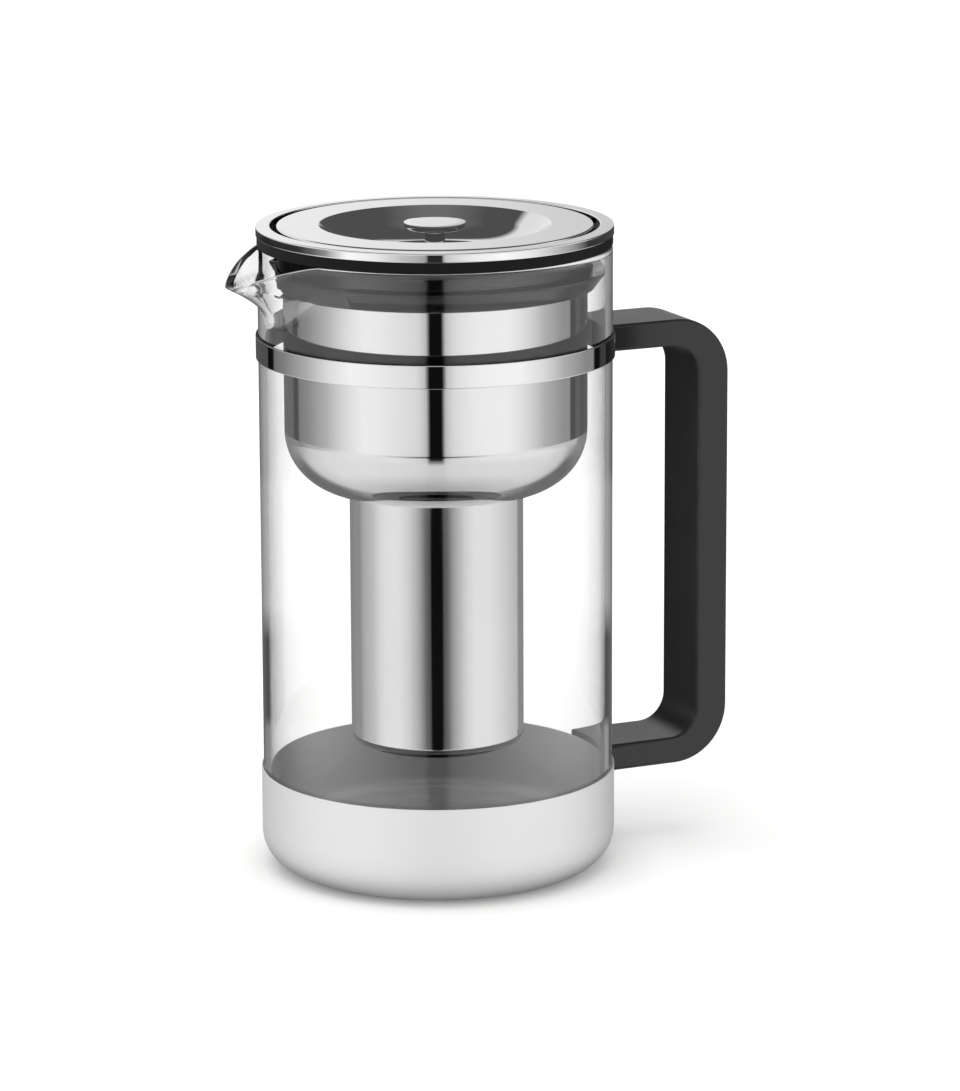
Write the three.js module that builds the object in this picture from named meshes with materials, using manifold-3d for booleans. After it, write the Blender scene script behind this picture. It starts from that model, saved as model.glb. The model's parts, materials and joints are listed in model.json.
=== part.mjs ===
// Water filter jug: a glass jug in a steel base cup, with a lift-out filter unit hung in its mouth.
// Millimetres, +Z up. The origin is on the jug's axis, on the surface that the jug stands on.
// The handle points along +X and the pouring spout along -X.
import * as THREE from 'three';
import { mergeVertices } from 'three/addons/utils/BufferGeometryUtils.js';
import { ConvexGeometry } from 'three/addons/geometries/ConvexGeometry.js';
import Module from 'manifold-3d';

// Facets and clearances
const JUG_FACETS = 40;          // facets round the jug, the funnel and the lid
const CARTRIDGE_FACETS = 24;    // facets round the cartridge and the knob
const HOLE_FACETS = 12;
const ARC_STEPS = 4;            // straight pieces in a quarter-round corner
const FIT = 0.3;                // gap between a piece and the one that it fits
const SHEET = 0.6;              // stainless sheet of the cup, funnel, sleeve, lid and can
const DRILL_OVERRUN = 2;        // how far a drill goes past the wall that it cuts

// Base
const FOOT_R = 52;
const FOOT_T = 0.6;
const CUP_DEPTH = 42.1;
const CUP_CORNER = 12;
const CUSHION_R = 50;
const CUSHION_T = 2.6;

// Glass
const GLASS_R = 73.2;
const GLASS_WALL = 2.8;
const GLASS_FLOOR = 5;
const SPOUT_REACH = 19.1;       // how far the tip stands out past the wall
const SPOUT_DIP = 11.5;         // how far the tip lies under the rim
const SPOUT_DEPTH = 29.4;       // from the rim down to the foot of the beak
const SPOUT_TIP_R = 4.2;
const SPOUT_TIP_ARC = 60;       // degrees of the rounded tip each side of its middle

// Band and handle
const BAND_T = 0.7;
const BAND_H = 9.5;
const BAND_DROP = 36.5;         // from the rim down to the band's top edge
const HANDLE_W = 32.5;
const HANDLE_GAP = 40.5;        // finger room between the glass and the grip
const GRIP_T = 14.2;
const ARM_T = 11.3;
const UPPER_ARM_DROP = 0.5;     // upper arm's top under the band's top
const LOWER_ARM_DROP = 9;       // lower arm's underside under the cup's edge
const HANDLE_CORNER = 24;
const HANDLE_FILLET = 12;
const HANDLE_EDGE = 1.2;
const TAB_W = 18;
const TAB_T = 2;
const TAB_L = 22;
const TAB_DROP = 3.3;           // lower tab's middle under the cup's edge
const TAB_SCREW_AT = 13;        // from the tab's root to its screw
const SCREW_R = 2;
const SCREW_HEAD_R = 3.8;
const SCREW_HEAD_T = 2.6;
const SCREW_BITE = 1.2;         // how far a screw goes past the tab

// Cartridge
const CARTRIDGE_H = 111;
const RIM_FLARE = 2;
const RIM_ROLL = 1.5;
const COLLAR_R = 30.5;
const COLLAR_H = 22;            // rim to the foot of the shoulder
const BODY_R = 27;
const NECK_R = 25.6;            // threaded end that the cap screws on
const NECK_CLEAR = 1.5;         // neck's lower end over the outlet mesh
const CAP_R = 27.2;
const CAP_H = 22.5;
const CAP_CORNER = 9;
const CAP_WALL = 2.2;           // cap's floor, and the ledge that carries the mesh
const RIDGE_R = 0.7;            // how far the cap's rolled thread stands out
const RIDGE_H = 2.2;
const RIDGE_PITCH = 4.2;
const RIDGE_DROP = 7.6;         // cap's top edge to the middle of the first ridge
const O_RING_T = 1.6;
const INLET_R = 3.4;
const INLET_DROP = 8.4;         // rim to the middle of the inlet holes
const INLETS = 6;
const SCREEN_T = 1;
const SCREEN_DROP = 3.5;        // shoulder's foot to the top of the inlet screen
const SCREEN_HOLE_R = 3;
const SCREEN_RING_R = 14;
const MESH_T = 1;
const OUTLET_R = 2.6;
const OUTLET_RING_R = 11;
const OUTLETS = 6;
const WIRE_R = 1;
const WIRE_FACETS = 8;
const WIRE_STEPS = 36;
const BAIL_H = 22.2;
const BAIL_FLAT = 27;
const BAIL_STUB = 3;            // how far a bail end shows outside the can
const BAIL_HEEL = 0.7;          // height of the bend inside the can over the pivots
const BAIL_BOW = [[0.98, 0.2], [0.92, 0.5], [0.77, 0.8]];   // its legs, in shares of their span and height
const PIVOT_DROP = 8;           // rim to the bail's pivots

// Filter unit
const UNDER_SLEEVE = 44.7;      // room between the glass floor and the sleeve
const OUTFLOW_GAP = 10.4;       // room under the cartridge inside the sleeve
const SEAT_WALL = 2;
const SEAT_FLANGE_T = 1.4;
const SEAT_FLANGE_W = 3.3;
const SEAT_LIP_T = 2;
const INLET_CLEAR = 0.7;        // seat's top to the lowest edge of the inlet holes
const FLOOR_LEDGE = 3;          // funnel floor between its hole and the sleeve's outside
const SLEEVE_FILLET = 4;
const SLEEVE_HOLE_R = 5;
const SLEEVE_RING_R = 20;
const SLEEVE_HOLES = 6;
const FUNNEL_ANNULUS = 7.6;     // room between the funnel and the glass
const FUNNEL_H = 104.1;
const FUNNEL_CORNER = 26;
const COLLAR_NECK_T = 2.2;
const COLLAR_NECK_DROP = 12.3;
const COLLAR_LEDGE_T = 1.2;
const FLANGE_H = 4.7;
const FLANGE_OVERHANG = 0.1;
const RING_H = 3.8;
const RING_OVERHANG = 0.5;
const RING_CROWN = 0.2;         // ring's inner edge over its outer edge
const WIPER_FOOT = 4.7;         // height of the wiper's root under the collar
const WIPER_RISE = 8;
const WIPER_TIP = 0.9;
const WIPER_RELIEF = 35;        // degrees each side of the spout without a lip

// Lid
const LID_GROOVE = 2.5;         // dark groove between the lid and the chrome ring
const LID_WELL_GAP = 1;
const LID_EDGE = 1;
const LID_SKIRT = 5.6;
const GASKET_W = 2.5;
const DISH_R = 47.7;
const DISH_WALL = 12;           // radial run of the dish's sloping wall
const DISH_DEPTH = 12.4;
const KNOB_R = 12.75;
const KNOB_T = 2;
const KNOB_RISE = 0.8;          // knob's top over the lid's top
const STEM_R = 4.4;
const STEM_BORE = 9;
const LID_SCREW_R = 1.75;
const LID_SCREW_HEAD_R = 4;
const LID_SCREW_HEAD_T = 2.2;
const LID_SCREW_BITE = 8;
const WASHER_R = 7;
const WASHER_T = 1;

// Heights, from the table up
const CUP_FLOOR_Z = FOOT_T + SHEET;
const CUP_EDGE_Z = FOOT_T + CUP_DEPTH;
const GLASS_Z = CUP_FLOOR_Z + CUSHION_T;
const GLASS_FLOOR_Z = GLASS_Z + GLASS_FLOOR;
const SLEEVE_Z = GLASS_FLOOR_Z + UNDER_SLEEVE;
const CARTRIDGE_Z = SLEEVE_Z + SHEET + OUTFLOW_GAP;
const CAN_RIM_Z = CARTRIDGE_Z + CARTRIDGE_H;
const INLET_Z = CAN_RIM_Z - INLET_DROP;
const PIVOT_Z = CAN_RIM_Z - PIVOT_DROP;
const SHOULDER_Z = CAN_RIM_Z - COLLAR_H;
const CAP_EDGE_Z = CARTRIDGE_Z + CAP_H;
const MESH_Z = CARTRIDGE_Z + CAP_CORNER;
const NECK_Z = MESH_Z + MESH_T + NECK_CLEAR;
const CAN_STEP_Z = CAP_EDGE_Z + O_RING_T + 2 * FIT;
const SEAT_TOP_Z = INLET_Z - INLET_R - INLET_CLEAR;
const FUNNEL_FLOOR_Z = SEAT_TOP_Z - SEAT_FLANGE_T;
const FUNNEL_Z = FUNNEL_FLOOR_Z - SHEET;
const FUNNEL_TOP_Z = FUNNEL_Z + FUNNEL_H;
const LEDGE_Z = FUNNEL_TOP_Z - SHEET;
const FLANGE_Z = LEDGE_Z - COLLAR_LEDGE_T;
const RIM_Z = FLANGE_Z - FIT;
const RING_Z = FLANGE_Z + FLANGE_H;
const RING_TOP_Z = RING_Z + RING_H;
const LID_Z = RING_TOP_Z;
const DISH_Z = LID_Z - DISH_DEPTH;
const KNOB_Z = LID_Z + KNOB_RISE;
const BAND_TOP_Z = RIM_Z - BAND_DROP;
const BAND_Z = BAND_TOP_Z - BAND_H;
const UPPER_ARM_TOP_Z = BAND_TOP_Z - UPPER_ARM_DROP;
const LOWER_ARM_Z = CUP_EDGE_Z - LOWER_ARM_DROP;
const UPPER_TAB_Z = BAND_Z + BAND_H / 2;
const LOWER_TAB_Z = CUP_EDGE_Z - TAB_DROP;

// Radii that follow from the driving sizes
const CUP_R = GLASS_R + FIT + SHEET;
const GLASS_CORNER = CUP_CORNER - SHEET - FIT;
const BORE_R = GLASS_R - GLASS_WALL;
const BAND_R = GLASS_R + FIT + BAND_T;
const ARM_END_R = Math.max(BAND_R, CUP_R) + FIT;
const GRIP_INNER_X = GLASS_R + HANDLE_GAP;
const GRIP_OUTER_X = GRIP_INNER_X + GRIP_T;
const SHOULDER_H = COLLAR_R - BODY_R;
const FLOOR_HOLE_R = COLLAR_R + SEAT_WALL + 2 * FIT;
const SLEEVE_R = FLOOR_HOLE_R + FLOOR_LEDGE;
const FUNNEL_R = BORE_R - FUNNEL_ANNULUS;
const FUNNEL_BEND = Math.min(FUNNEL_CORNER, FUNNEL_R - SLEEVE_R - SHEET);
const COLLAR_NECK_R = FUNNEL_R + FIT + COLLAR_NECK_T;
const COLLAR_FLANGE_R = GLASS_R + FLANGE_OVERHANG;
const RING_R = GLASS_R + RING_OVERHANG;
const LID_R = COLLAR_NECK_R;
const WELL_R = LID_R + LID_WELL_GAP;
const RING_BORE_R = LID_R + LID_GROOVE;
const WIPER_R = BORE_R - FIT;

// Materials, one each for the finishes that the jug has
const clearGlass = { color: 0xeef3f3, roughness: 0.03, metalness: 0, transparent: true, opacity: 0.3 };
const polishedSteel = { color: 0xd6d6d4, roughness: 0.08, metalness: 1 };
const satinSteel = { color: 0xc4c4c2, roughness: 0.35, metalness: 1 };
const brushedSteel = { color: 0xb9b9b7, roughness: 0.3, metalness: 1 };
const blackPlastic = { color: 0x1f1f20, roughness: 0.55, metalness: 0 };
const blackSilicone = { color: 0x17171a, roughness: 0.65, metalness: 0 };
const charcoal = { color: 0x2b2a29, roughness: 0.95, metalness: 0 };

const wasm = await Module();
wasm.setup();

const jug = new THREE.Group();

function place(name, geometry, finish, group = jug) {
  const mesh = new THREE.Mesh(geometry, new THREE.MeshStandardMaterial(finish));
  mesh.name = name;
  group.add(mesh);
}

// Points on an arc, angles in degrees
function arc(centreX, centreY, radius, from, to, steps = ARC_STEPS) {
  const points = [];
  for (let i = 0; i <= steps; i += 1) {
    const angle = THREE.MathUtils.degToRad(from + (to - from) * i / steps);
    points.push([centreX + radius * Math.cos(angle), centreY + radius * Math.sin(angle)]);
  }
  return points;
}

// A solid turned about Z from an outline of [radius, height] points.
// The outline closes on itself, or starts and ends on the axis.
function turned(outline, facets) {
  const points = outline.map(([radius, height]) => new THREE.Vector2(radius, height));
  if (THREE.ShapeUtils.isClockWise(points)) points.reverse();
  if (points[0].x > 0) points.push(points[0].clone());
  return new THREE.LatheGeometry(points, facets).rotateX(Math.PI / 2);
}

function turnedRing(innerR, outerR, bottomZ, topZ, facets) {
  return turned([[innerR, bottomZ], [outerR, bottomZ], [outerR, topZ], [innerR, topZ]], facets);
}

function turnedDisc(radius, bottomZ, topZ, facets) {
  return turned([[0, bottomZ], [radius, bottomZ], [radius, topZ], [0, topZ]], facets);
}

function boxBetween(low, high) {
  const size = high.map((value, i) => value - low[i]);
  const middle = high.map((value, i) => (value + low[i]) / 2);
  return new THREE.BoxGeometry(...size).translate(...middle);
}

// A closed geometry as a solid that can be joined and cut
function solid(geometry) {
  const bare = new THREE.BufferGeometry();
  bare.setAttribute('position', geometry.getAttribute('position'));
  bare.setIndex(geometry.getIndex());
  const merged = mergeVertices(bare);
  const corners = merged.getIndex().array;
  const triangles = [];
  for (let i = 0; i < corners.length; i += 3) {
    const [a, b, c] = corners.slice(i, i + 3);
    if (a !== b && b !== c && c !== a) triangles.push(a, b, c);
  }
  return new wasm.Manifold(new wasm.Mesh({
    numProp: 3,
    vertProperties: new Float32Array(merged.getAttribute('position').array),
    triVerts: new Uint32Array(triangles),
  }));
}

function geometryOf(body) {
  const mesh = body.getMesh();
  const geometry = new THREE.BufferGeometry();
  geometry.setAttribute('position', new THREE.BufferAttribute(mesh.vertProperties, 3));
  geometry.setIndex(new THREE.BufferAttribute(mesh.triVerts, 1));
  geometry.computeVertexNormals();
  return geometry;
}

function cut(geometry, tools) {
  const body = tools.reduce((rest, tool) => rest.subtract(solid(tool)), solid(geometry));
  return geometryOf(body);
}

// Upright round holes in a floor: one in the middle and a ring of them
function floorHoles(radius, ringR, count, bottomZ, topZ) {
  const drill = turnedDisc(radius, bottomZ - DRILL_OVERRUN, topZ + DRILL_OVERRUN, HOLE_FACETS);
  const drills = [drill];
  for (let i = 0; i < count; i += 1) {
    const angle = 2 * Math.PI * i / count;
    drills.push(drill.clone().translate(ringR * Math.cos(angle), ringR * Math.sin(angle), 0));
  }
  return drills;
}

// A round drill that enters a wall from outside at an angle about Z, given in degrees
function wallDrill(radius, angle, height, fromR, toR) {
  return new THREE.CylinderGeometry(radius, radius, toR - fromR, HOLE_FACETS)
    .rotateZ(Math.PI / 2)
    .translate((fromR + toR) / 2, 0, height)
    .rotateZ(THREE.MathUtils.degToRad(angle));
}

// The steel cup that holds the glass, with its cushion and the pad that it stands on
function base() {
  const bendX = CUP_R - CUP_CORNER;
  const bendZ = FOOT_T + CUP_CORNER;
  const cup = [
    [0, FOOT_T],
    ...arc(bendX, bendZ, CUP_CORNER, -90, 0),
    [CUP_R, CUP_EDGE_Z],
    [CUP_R - SHEET, CUP_EDGE_Z],
    ...arc(bendX, bendZ, CUP_CORNER - SHEET, 0, -90),
    [0, CUP_FLOOR_Z],
  ];
  place('foot_pad', turnedDisc(FOOT_R, 0, FOOT_T, JUG_FACETS), blackSilicone);
  place('base_cup', turned(cup, JUG_FACETS), satinSteel);
  place('base_cushion', turnedDisc(CUSHION_R, CUP_FLOOR_Z, GLASS_Z, JUG_FACETS), blackSilicone);
}

// Corner points of the spout's beak: its rounded tip, the two points where its rim lines leave the
// glass rim at a tangent, and the foot of its keel. The wall is how far it lies inside the outer beak.
function beakPoints(wall, lift) {
  const rimR = GLASS_R - wall;
  const reach = GLASS_R + SPOUT_REACH - Math.SQRT2 * wall;
  const tangent = Math.acos(rimR / reach);
  const tipR = Math.max(SPOUT_TIP_R - wall, FIT);
  const tipZ = RIM_Z - SPOUT_DIP;
  const keelSlope = (SPOUT_DEPTH - SPOUT_DIP) / SPOUT_REACH;
  const footX = rimR - wall;
  const rim = arc(reach - tipR, 0, tipR, -SPOUT_TIP_ARC, SPOUT_TIP_ARC).map(([x, y]) => [x, y, tipZ]);
  for (const side of [-1, 1]) {
    rim.push([rimR * Math.cos(tangent), side * rimR * Math.sin(tangent), RIM_Z]);
  }
  const raised = rim.map(([x, y, z]) => [x, y, z + lift]);
  const foot = [footX, 0, tipZ - keelSlope * (reach - footX)];
  return [...rim, ...raised, foot].map(([x, y, z]) => new THREE.Vector3(-x, y, z));
}

// The glass: a straight-sided vessel with a pinched beak of the same wall.
// Its floor is a node of its own, so that each node has a simple shape.
function glass() {
  const bendX = GLASS_R - GLASS_CORNER;
  const bendZ = GLASS_Z + GLASS_CORNER;
  const seam = -THREE.MathUtils.radToDeg(Math.asin((bendZ - GLASS_FLOOR_Z) / GLASS_CORNER));
  const floor = [
    [0, GLASS_Z],
    ...arc(bendX, bendZ, GLASS_CORNER, -90, seam),
    [0, GLASS_FLOOR_Z],
  ];
  const outside = [
    [0, GLASS_FLOOR_Z],
    ...arc(bendX, bendZ, GLASS_CORNER, seam, 0),
    [GLASS_R, RIM_Z],
    [0, RIM_Z],
  ];
  const insideCorner = GLASS_CORNER - GLASS_WALL;
  const hollow = [
    [0, GLASS_FLOOR_Z - DRILL_OVERRUN],
    [bendX, GLASS_FLOOR_Z - DRILL_OVERRUN],
    ...arc(bendX, GLASS_FLOOR_Z + insideCorner, insideCorner, -90, 0),
    [BORE_R, RIM_Z + GLASS_WALL],
    [0, RIM_Z + GLASS_WALL],
  ];
  const beak = solid(new ConvexGeometry(beakPoints(0, 0)));
  const mouth = new ConvexGeometry(beakPoints(GLASS_WALL, SPOUT_DIP));
  const body = geometryOf(solid(turned(outside, JUG_FACETS)).add(beak));
  place('glass_jug', cut(body, [turned(hollow, JUG_FACETS), mouth]), clearGlass);
  place('glass_floor', turned(floor, JUG_FACETS), clearGlass);
}

function band() {
  place('neck_band', turnedRing(GLASS_R + FIT, BAND_R, BAND_Z, BAND_TOP_Z, JUG_FACETS), polishedSteel);
}

// Side view of the C-shaped handle, as [x, z] points
function handleOutline() {
  const lowZ = LOWER_ARM_Z;
  const highZ = UPPER_ARM_TOP_Z;
  const outerX = GRIP_OUTER_X - HANDLE_CORNER;
  const innerX = GRIP_INNER_X - HANDLE_FILLET;
  const startX = ARM_END_R - HANDLE_W / 2;
  return [
    [startX, lowZ],
    ...arc(outerX, lowZ + HANDLE_CORNER, HANDLE_CORNER, -90, 0),
    ...arc(outerX, highZ - HANDLE_CORNER, HANDLE_CORNER, 0, 90),
    [startX, highZ],
    [startX, highZ - ARM_T],
    ...arc(innerX, highZ - ARM_T - HANDLE_FILLET, HANDLE_FILLET, 90, 0),
    ...arc(innerX, lowZ + ARM_T + HANDLE_FILLET, HANDLE_FILLET, 0, -90),
    [startX, lowZ + ARM_T],
  ];
}

// Flat steel tab that reaches from the jug into a handle arm
function tab(middleZ, clearance) {
  return boxBetween(
    [GLASS_R - TAB_L / 2, -TAB_W / 2 - clearance, middleZ - TAB_T / 2 - clearance],
    [ARM_END_R + TAB_L + clearance, TAB_W / 2 + clearance, middleZ + TAB_T / 2 + clearance],
  );
}

// Pan-head screw that goes up through a handle arm and its tab
function tabScrew(armZ, tabZ, clearance) {
  const headTopZ = armZ + SCREW_HEAD_T + FIT;
  const tipZ = tabZ + TAB_T / 2 + SCREW_BITE + clearance;
  const headZ = clearance > 0 ? armZ - DRILL_OVERRUN : armZ + FIT;
  const outline = [
    [0, headZ],
    [SCREW_HEAD_R + clearance, headZ],
    [SCREW_HEAD_R + clearance, headTopZ + clearance],
    [SCREW_R + clearance, headTopZ + clearance],
    [SCREW_R + clearance, tipZ],
    [0, tipZ],
  ];
  return turned(outline, HOLE_FACETS).translate(ARM_END_R + TAB_SCREW_AT, 0, 0);
}

// The handle, slotted for its two tabs, with the screws that hold it
function handle() {
  const shape = new THREE.Shape(handleOutline().map(([x, z]) => new THREE.Vector2(x, z)));
  const bar = new THREE.ExtrudeGeometry(shape, {
    depth: HANDLE_W - 2 * HANDLE_EDGE,
    bevelThickness: HANDLE_EDGE,
    bevelSize: HANDLE_EDGE,
    bevelOffset: -HANDLE_EDGE,
    bevelSegments: 1,
  });
  bar.translate(0, 0, HANDLE_EDGE - HANDLE_W / 2).rotateX(Math.PI / 2);
  const jugSpace = turnedDisc(ARM_END_R, 0, RIM_Z, JUG_FACETS);
  const arms = [
    { end: 'upper', armZ: UPPER_ARM_TOP_Z - ARM_T, tabZ: UPPER_TAB_Z },
    { end: 'lower', armZ: LOWER_ARM_Z, tabZ: LOWER_TAB_Z },
  ];
  const tools = [jugSpace];
  for (const { end, armZ, tabZ } of arms) {
    const screwHole = tabScrew(armZ, tabZ, FIT);
    tools.push(tab(tabZ, FIT), screwHole);
    place(`${end}_bracket`, cut(tab(tabZ, 0), [jugSpace, screwHole]), satinSteel);
    place(`${end}_screw`, tabScrew(armZ, tabZ, 0), satinSteel);
  }
  place('handle', cut(bar, tools), blackPlastic);
}

// Chrome ring and black collar that hang the filter unit on the glass rim
function rimParts() {
  const ring = [
    [RING_BORE_R, RING_Z],
    [RING_R, RING_Z],
    [RING_R, RING_TOP_Z - RING_CROWN],
    [RING_BORE_R + RING_CROWN / 2, RING_TOP_Z],
    [RING_BORE_R, RING_TOP_Z - RING_CROWN / 2],
  ];
  const neckZ = FLANGE_Z - COLLAR_NECK_DROP;
  const collar = [
    [FUNNEL_R + FIT, neckZ],
    [COLLAR_NECK_R, neckZ],
    [COLLAR_NECK_R, FLANGE_Z],
    [COLLAR_FLANGE_R, FLANGE_Z],
    [COLLAR_FLANGE_R, RING_Z],
    [WELL_R, RING_Z],
    [WELL_R, LEDGE_Z],
    [FUNNEL_R + FIT, LEDGE_Z],
  ];
  place('rim_ring', turned(ring, JUG_FACETS), polishedSteel);
  place('collar', turned(collar, JUG_FACETS), blackPlastic);
}

// Silicone lip that wipes the inside of the glass, trimmed back in front of the spout
function wiper() {
  const topZ = FLANGE_Z - COLLAR_NECK_DROP;
  const footZ = topZ - WIPER_FOOT;
  const rootR = COLLAR_NECK_R + FIT;
  const lip = [
    [FUNNEL_R + FIT, footZ],
    [rootR, footZ],
    [WIPER_R, footZ + WIPER_RISE - WIPER_TIP],
    [WIPER_R, footZ + WIPER_RISE],
    [WIPER_R - WIPER_TIP, footZ + WIPER_RISE],
    [rootR + FIT, topZ],
    [FUNNEL_R + FIT, topZ],
  ];
  const from = 180 - WIPER_RELIEF;
  const to = 180 + WIPER_RELIEF;
  const outline = [...arc(0, 0, 2 * BORE_R, from, to), ...arc(0, 0, rootR, to, from, 2 * ARC_STEPS)];
  const sector = new THREE.Shape(outline.map(([x, y]) => new THREE.Vector2(x, y)));
  const height = WIPER_FOOT + WIPER_RISE;
  const knife = new THREE.ExtrudeGeometry(sector, { depth: height, bevelEnabled: false });
  knife.translate(0, 0, footZ - WIPER_FOOT / 2);
  place('wiper_seal', cut(turned(lip, JUG_FACETS), [knife]), blackSilicone);
}

// The upper reservoir, a drawn bowl with a rim that sits on the collar's ledge
function funnel() {
  const bendX = FUNNEL_R - FUNNEL_BEND;
  const bendZ = FUNNEL_Z + FUNNEL_BEND;
  const bowl = [
    [FLOOR_HOLE_R, FUNNEL_Z],
    ...arc(bendX, bendZ, FUNNEL_BEND, -90, 0),
    [FUNNEL_R, LEDGE_Z],
    [WELL_R - FIT, LEDGE_Z],
    [WELL_R - FIT, FUNNEL_TOP_Z],
    [FUNNEL_R - SHEET, FUNNEL_TOP_Z],
    ...arc(bendX, bendZ, FUNNEL_BEND - SHEET, 0, -90),
    [FLOOR_HOLE_R, FUNNEL_FLOOR_Z],
  ];
  place('funnel_bowl', turned(bowl, JUG_FACETS), polishedSteel);
}

// The tube under the funnel that the cartridge drops into, with outlet holes in its floor
function sleeve() {
  const bendX = SLEEVE_R - SLEEVE_FILLET;
  const bendZ = SLEEVE_Z + SLEEVE_FILLET;
  const tube = [
    [0, SLEEVE_Z],
    ...arc(bendX, bendZ, SLEEVE_FILLET, -90, 0, 2),
    [SLEEVE_R, FUNNEL_Z],
    [SLEEVE_R - SHEET, FUNNEL_Z],
    ...arc(bendX, bendZ, SLEEVE_FILLET - SHEET, 0, -90, 2),
    [0, SLEEVE_Z + SHEET],
  ];
  const drills = floorHoles(SLEEVE_HOLE_R, SLEEVE_RING_R, SLEEVE_HOLES, SLEEVE_Z, SLEEVE_Z + SHEET);
  place('filter_sleeve', cut(turned(tube, JUG_FACETS), drills), polishedSteel);
}

// Silicone grommet in the funnel floor that the cartridge's shoulder seats in
function seat() {
  const outerR = FLOOR_HOLE_R - FIT;
  const boreR = CAP_R + RIDGE_R + FIT;
  const lipZ = SHOULDER_Z - SEAT_LIP_T;
  const coneZ = SHOULDER_Z + boreR - FIT - BODY_R;
  const grommet = [
    [boreR, lipZ],
    [outerR, lipZ],
    [outerR, FUNNEL_FLOOR_Z],
    [FLOOR_HOLE_R + SEAT_FLANGE_W, FUNNEL_FLOOR_Z],
    [FLOOR_HOLE_R + SEAT_FLANGE_W, SEAT_TOP_Z],
    [COLLAR_R + FIT, SEAT_TOP_Z],
    [COLLAR_R + FIT, SHOULDER_Z + SHOULDER_H],
    [boreR, coneZ],
  ];
  place('cartridge_seat', turned(grommet, CARTRIDGE_FACETS), blackSilicone);
}

// Stamped lid: a flat ring round a dish, with its edge turned down over a gasket
function lid() {
  const underZ = LID_Z - SHEET;
  const skirtZ = LID_Z - LID_SKIRT;
  const wallR = DISH_R - DISH_WALL;
  const boreR = LID_SCREW_R + FIT;
  const plate = [
    [boreR, DISH_Z],
    [wallR, DISH_Z],
    [DISH_R, LID_Z],
    [LID_R - LID_EDGE, LID_Z],
    [LID_R, LID_Z - LID_EDGE],
    [LID_R, skirtZ],
    [LID_R - SHEET, skirtZ],
    [LID_R - SHEET, underZ],
    [DISH_R + SHEET / 2, underZ],
    [wallR + SHEET / 2, DISH_Z - SHEET],
    [boreR, DISH_Z - SHEET],
  ];
  const gasketR = LID_R - SHEET - FIT;
  place('lid_plate', turned(plate, JUG_FACETS), polishedSteel);
  place(
    'lid_gasket',
    turnedRing(gasketR - GASKET_W, gasketR, FUNNEL_TOP_Z + FIT, underZ, JUG_FACETS),
    blackSilicone,
  );
}

// Mushroom knob, held by a screw and a washer from under the dish
function knob() {
  const capZ = KNOB_Z - KNOB_T;
  const cap = [
    [0, capZ],
    [KNOB_R - KNOB_T / 2, capZ],
    [KNOB_R, capZ + KNOB_T / 2],
    [KNOB_R - KNOB_T, KNOB_Z - KNOB_T / 4],
    [KNOB_R / 2, KNOB_Z],
    [0, KNOB_Z],
  ];
  const boreR = LID_SCREW_R + FIT;
  const stem = [
    [0, capZ],
    [STEM_R, capZ],
    [STEM_R, DISH_Z],
    [boreR, DISH_Z],
    [boreR, DISH_Z + STEM_BORE],
    [0, DISH_Z + STEM_BORE],
  ];
  const washerZ = DISH_Z - SHEET - WASHER_T;
  const headZ = washerZ - LID_SCREW_HEAD_T;
  const screw = [
    [0, headZ],
    [LID_SCREW_HEAD_R, headZ],
    [LID_SCREW_HEAD_R, washerZ],
    [LID_SCREW_R, washerZ],
    [LID_SCREW_R, DISH_Z + LID_SCREW_BITE],
    [0, DISH_Z + LID_SCREW_BITE],
  ];
  place('knob_cap', turned(cap, CARTRIDGE_FACETS), polishedSteel);
  place('knob_stem', turned(stem, CARTRIDGE_FACETS), polishedSteel);
  place('knob_washer', turnedRing(boreR, WASHER_R, washerZ, DISH_Z - SHEET, CARTRIDGE_FACETS), blackSilicone);
  place('knob_screw', turned(screw, CARTRIDGE_FACETS), satinSteel);
}

// The cartridge's can: a flared collar with inlet holes, a shoulder and a body with an open neck
function can() {
  const flareZ = CAN_RIM_Z - RIM_ROLL - RIM_FLARE;
  const rollZ = CAN_RIM_Z - RIM_ROLL;
  const collarZ = SHOULDER_Z + SHOULDER_H;
  const shell = [
    [NECK_R, NECK_Z],
    [NECK_R, CAN_STEP_Z],
    [BODY_R, CAN_STEP_Z],
    [BODY_R, SHOULDER_Z],
    [COLLAR_R, collarZ],
    [COLLAR_R, flareZ],
    [COLLAR_R + RIM_FLARE, rollZ],
    [COLLAR_R + RIM_FLARE, CAN_RIM_Z],
    [COLLAR_R + RIM_FLARE - SHEET, CAN_RIM_Z],
    [COLLAR_R - SHEET, flareZ],
    [COLLAR_R - SHEET, collarZ],
    [BODY_R - SHEET, SHOULDER_Z],
    [BODY_R - SHEET, CAN_STEP_Z + SHEET],
    [NECK_R - SHEET, CAN_STEP_Z + SHEET],
    [NECK_R - SHEET, NECK_Z],
  ];
  const fromR = COLLAR_R - SHEET - DRILL_OVERRUN;
  const toR = COLLAR_R + DRILL_OVERRUN;
  const drills = [];
  for (let i = 0; i < INLETS; i += 1) {
    drills.push(wallDrill(INLET_R, 360 * i / INLETS, INLET_Z, fromR, toR));
  }
  for (const angle of [90, 270]) {
    drills.push(wallDrill(WIRE_R + FIT, angle, PIVOT_Z, fromR, toR));
  }
  place('cartridge_can', cut(turned(shell, CARTRIDGE_FACETS), drills), brushedSteel);
}

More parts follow.
